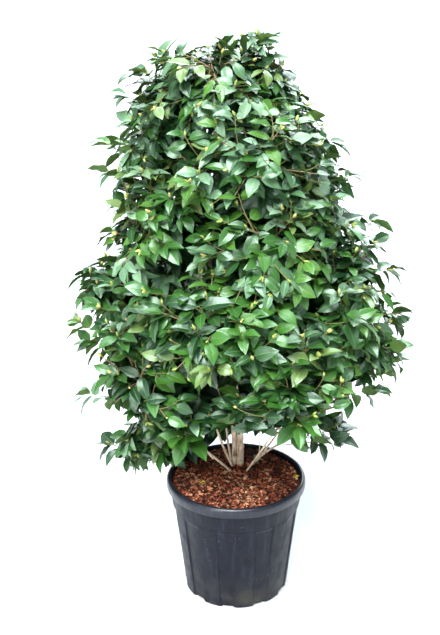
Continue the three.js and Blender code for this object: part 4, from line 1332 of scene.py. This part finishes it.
studio = {
    "floorColor": tint(176, 177, 179),
    "floorReach": 900.0,
    "worldColor": np.array([0.86, 0.95, 1.0]),
    "worldStrength": 0.96,
    "worldLevels": [(0.0, 0.96), (0.16, 0.96), (0.30, 0.08), (1.0, 1.0)],  # by the sine of the height
    "suns": [  # strength, how wide in degrees, where from, colour
        ("skyLight", 9.9, 42, (-0.32, -1.48, 2.48), (0.95, 0.98, 1.0)),
        ("backLight", 7.2, 60, (0.30, 1.70, 2.00), (0.87, 0.96, 1.0)),
    ],
    "panelPower": 55,
    "panelSize": 1.2,
    "panelFrom": (-1.9, -3.3, 1.5),
    "panelAim": 0.4,
    "lens": 51.94,
    "eye": (0.0, -2.8, 1.977),
    "pitch": 19.43,
    "shift": 0.02519685,  # to the side, as a share of the frame's longer side
}


def makeFloor():
    # one square at height zero, wide enough to reach the horizon
    corner = studio["floorReach"]
    points = corner * np.array([[-1, -1, 0], [1, -1, 0], [1, 1, 0], [-1, 1, 0]])
    finish = Finish("paleFloor", studio["floorColor"], 0.9, specular=0.1)
    putMesh("floor", points, [np.array([[0, 1, 2, 3]])], [finish.material])


def addLamp(name, kind, place, aim, **settings):
    # a lamp at a place, turned to the plant's axis at the height it aims for
    light = bpy.data.lights.new(name, kind)
    for setting, value in settings.items():
        setattr(light, setting, value)
    x, y, z = place
    lamp = bpy.data.objects.new(name, light)
    lamp.location = place
    lamp.rotation_euler = (math.atan2(math.hypot(x, y), z - aim), 0, math.atan2(y, x) + math.pi / 2)
    bpy.context.scene.collection.objects.link(lamp)


def makeWorld():
    # grey by height: a ramp over the sine of the direction's angle above the floor
    world = bpy.data.worlds.new("paleRoom")
    bpy.context.scene.world = world
    world.use_nodes = True
    tree = world.node_tree
    view = addNode(tree, "TexCoord", {}).outputs["Generated"]
    apart = addNode(tree, "SeparateXYZ", {"Vector": view})
    climb = addNode(tree, "ValToRGB", {"Fac": apart.outputs["Z"]})
    stops = climb.color_ramp.elements
    while len(stops) < len(studio["worldLevels"]):
        stops.new(0.5)
    for stop, (place, level) in zip(stops, studio["worldLevels"]):
        stop.position, stop.color = place, (*(studio["worldColor"] * level), 1)
    shade = {"Color": climb.outputs["Color"], "Strength": studio["worldStrength"]}
    feed(tree, tree.nodes["Background"], shade)


def makeCamera():
    # in front of the plant and a little above it, tipped down by its pitch
    lens = bpy.data.cameras.new("frontCamera")
    lens.lens = studio["lens"]
    lens.sensor_width = 36
    lens.shift_x = -studio["shift"]
    camera = bpy.data.objects.new("frontCamera", lens)
    camera.location = studio["eye"]
    camera.rotation_euler = (math.radians(90 - studio["pitch"]), 0, 0)
    bpy.context.scene.collection.objects.link(camera)
    bpy.context.scene.camera = camera


makeFloor()
makeWorld()
for name, strength, width, place, colour in studio["suns"]:
    addLamp(name, "SUN", place, 0, energy=strength, color=colour, angle=math.radians(width))
addLamp("frontPanel", "AREA", studio["panelFrom"], studio["panelAim"], energy=studio["panelPower"],
        size=studio["panelSize"])
makeCamera()
bpy.context.scene.view_settings.view_transform = "Standard"
print("floor, lights and camera are set")
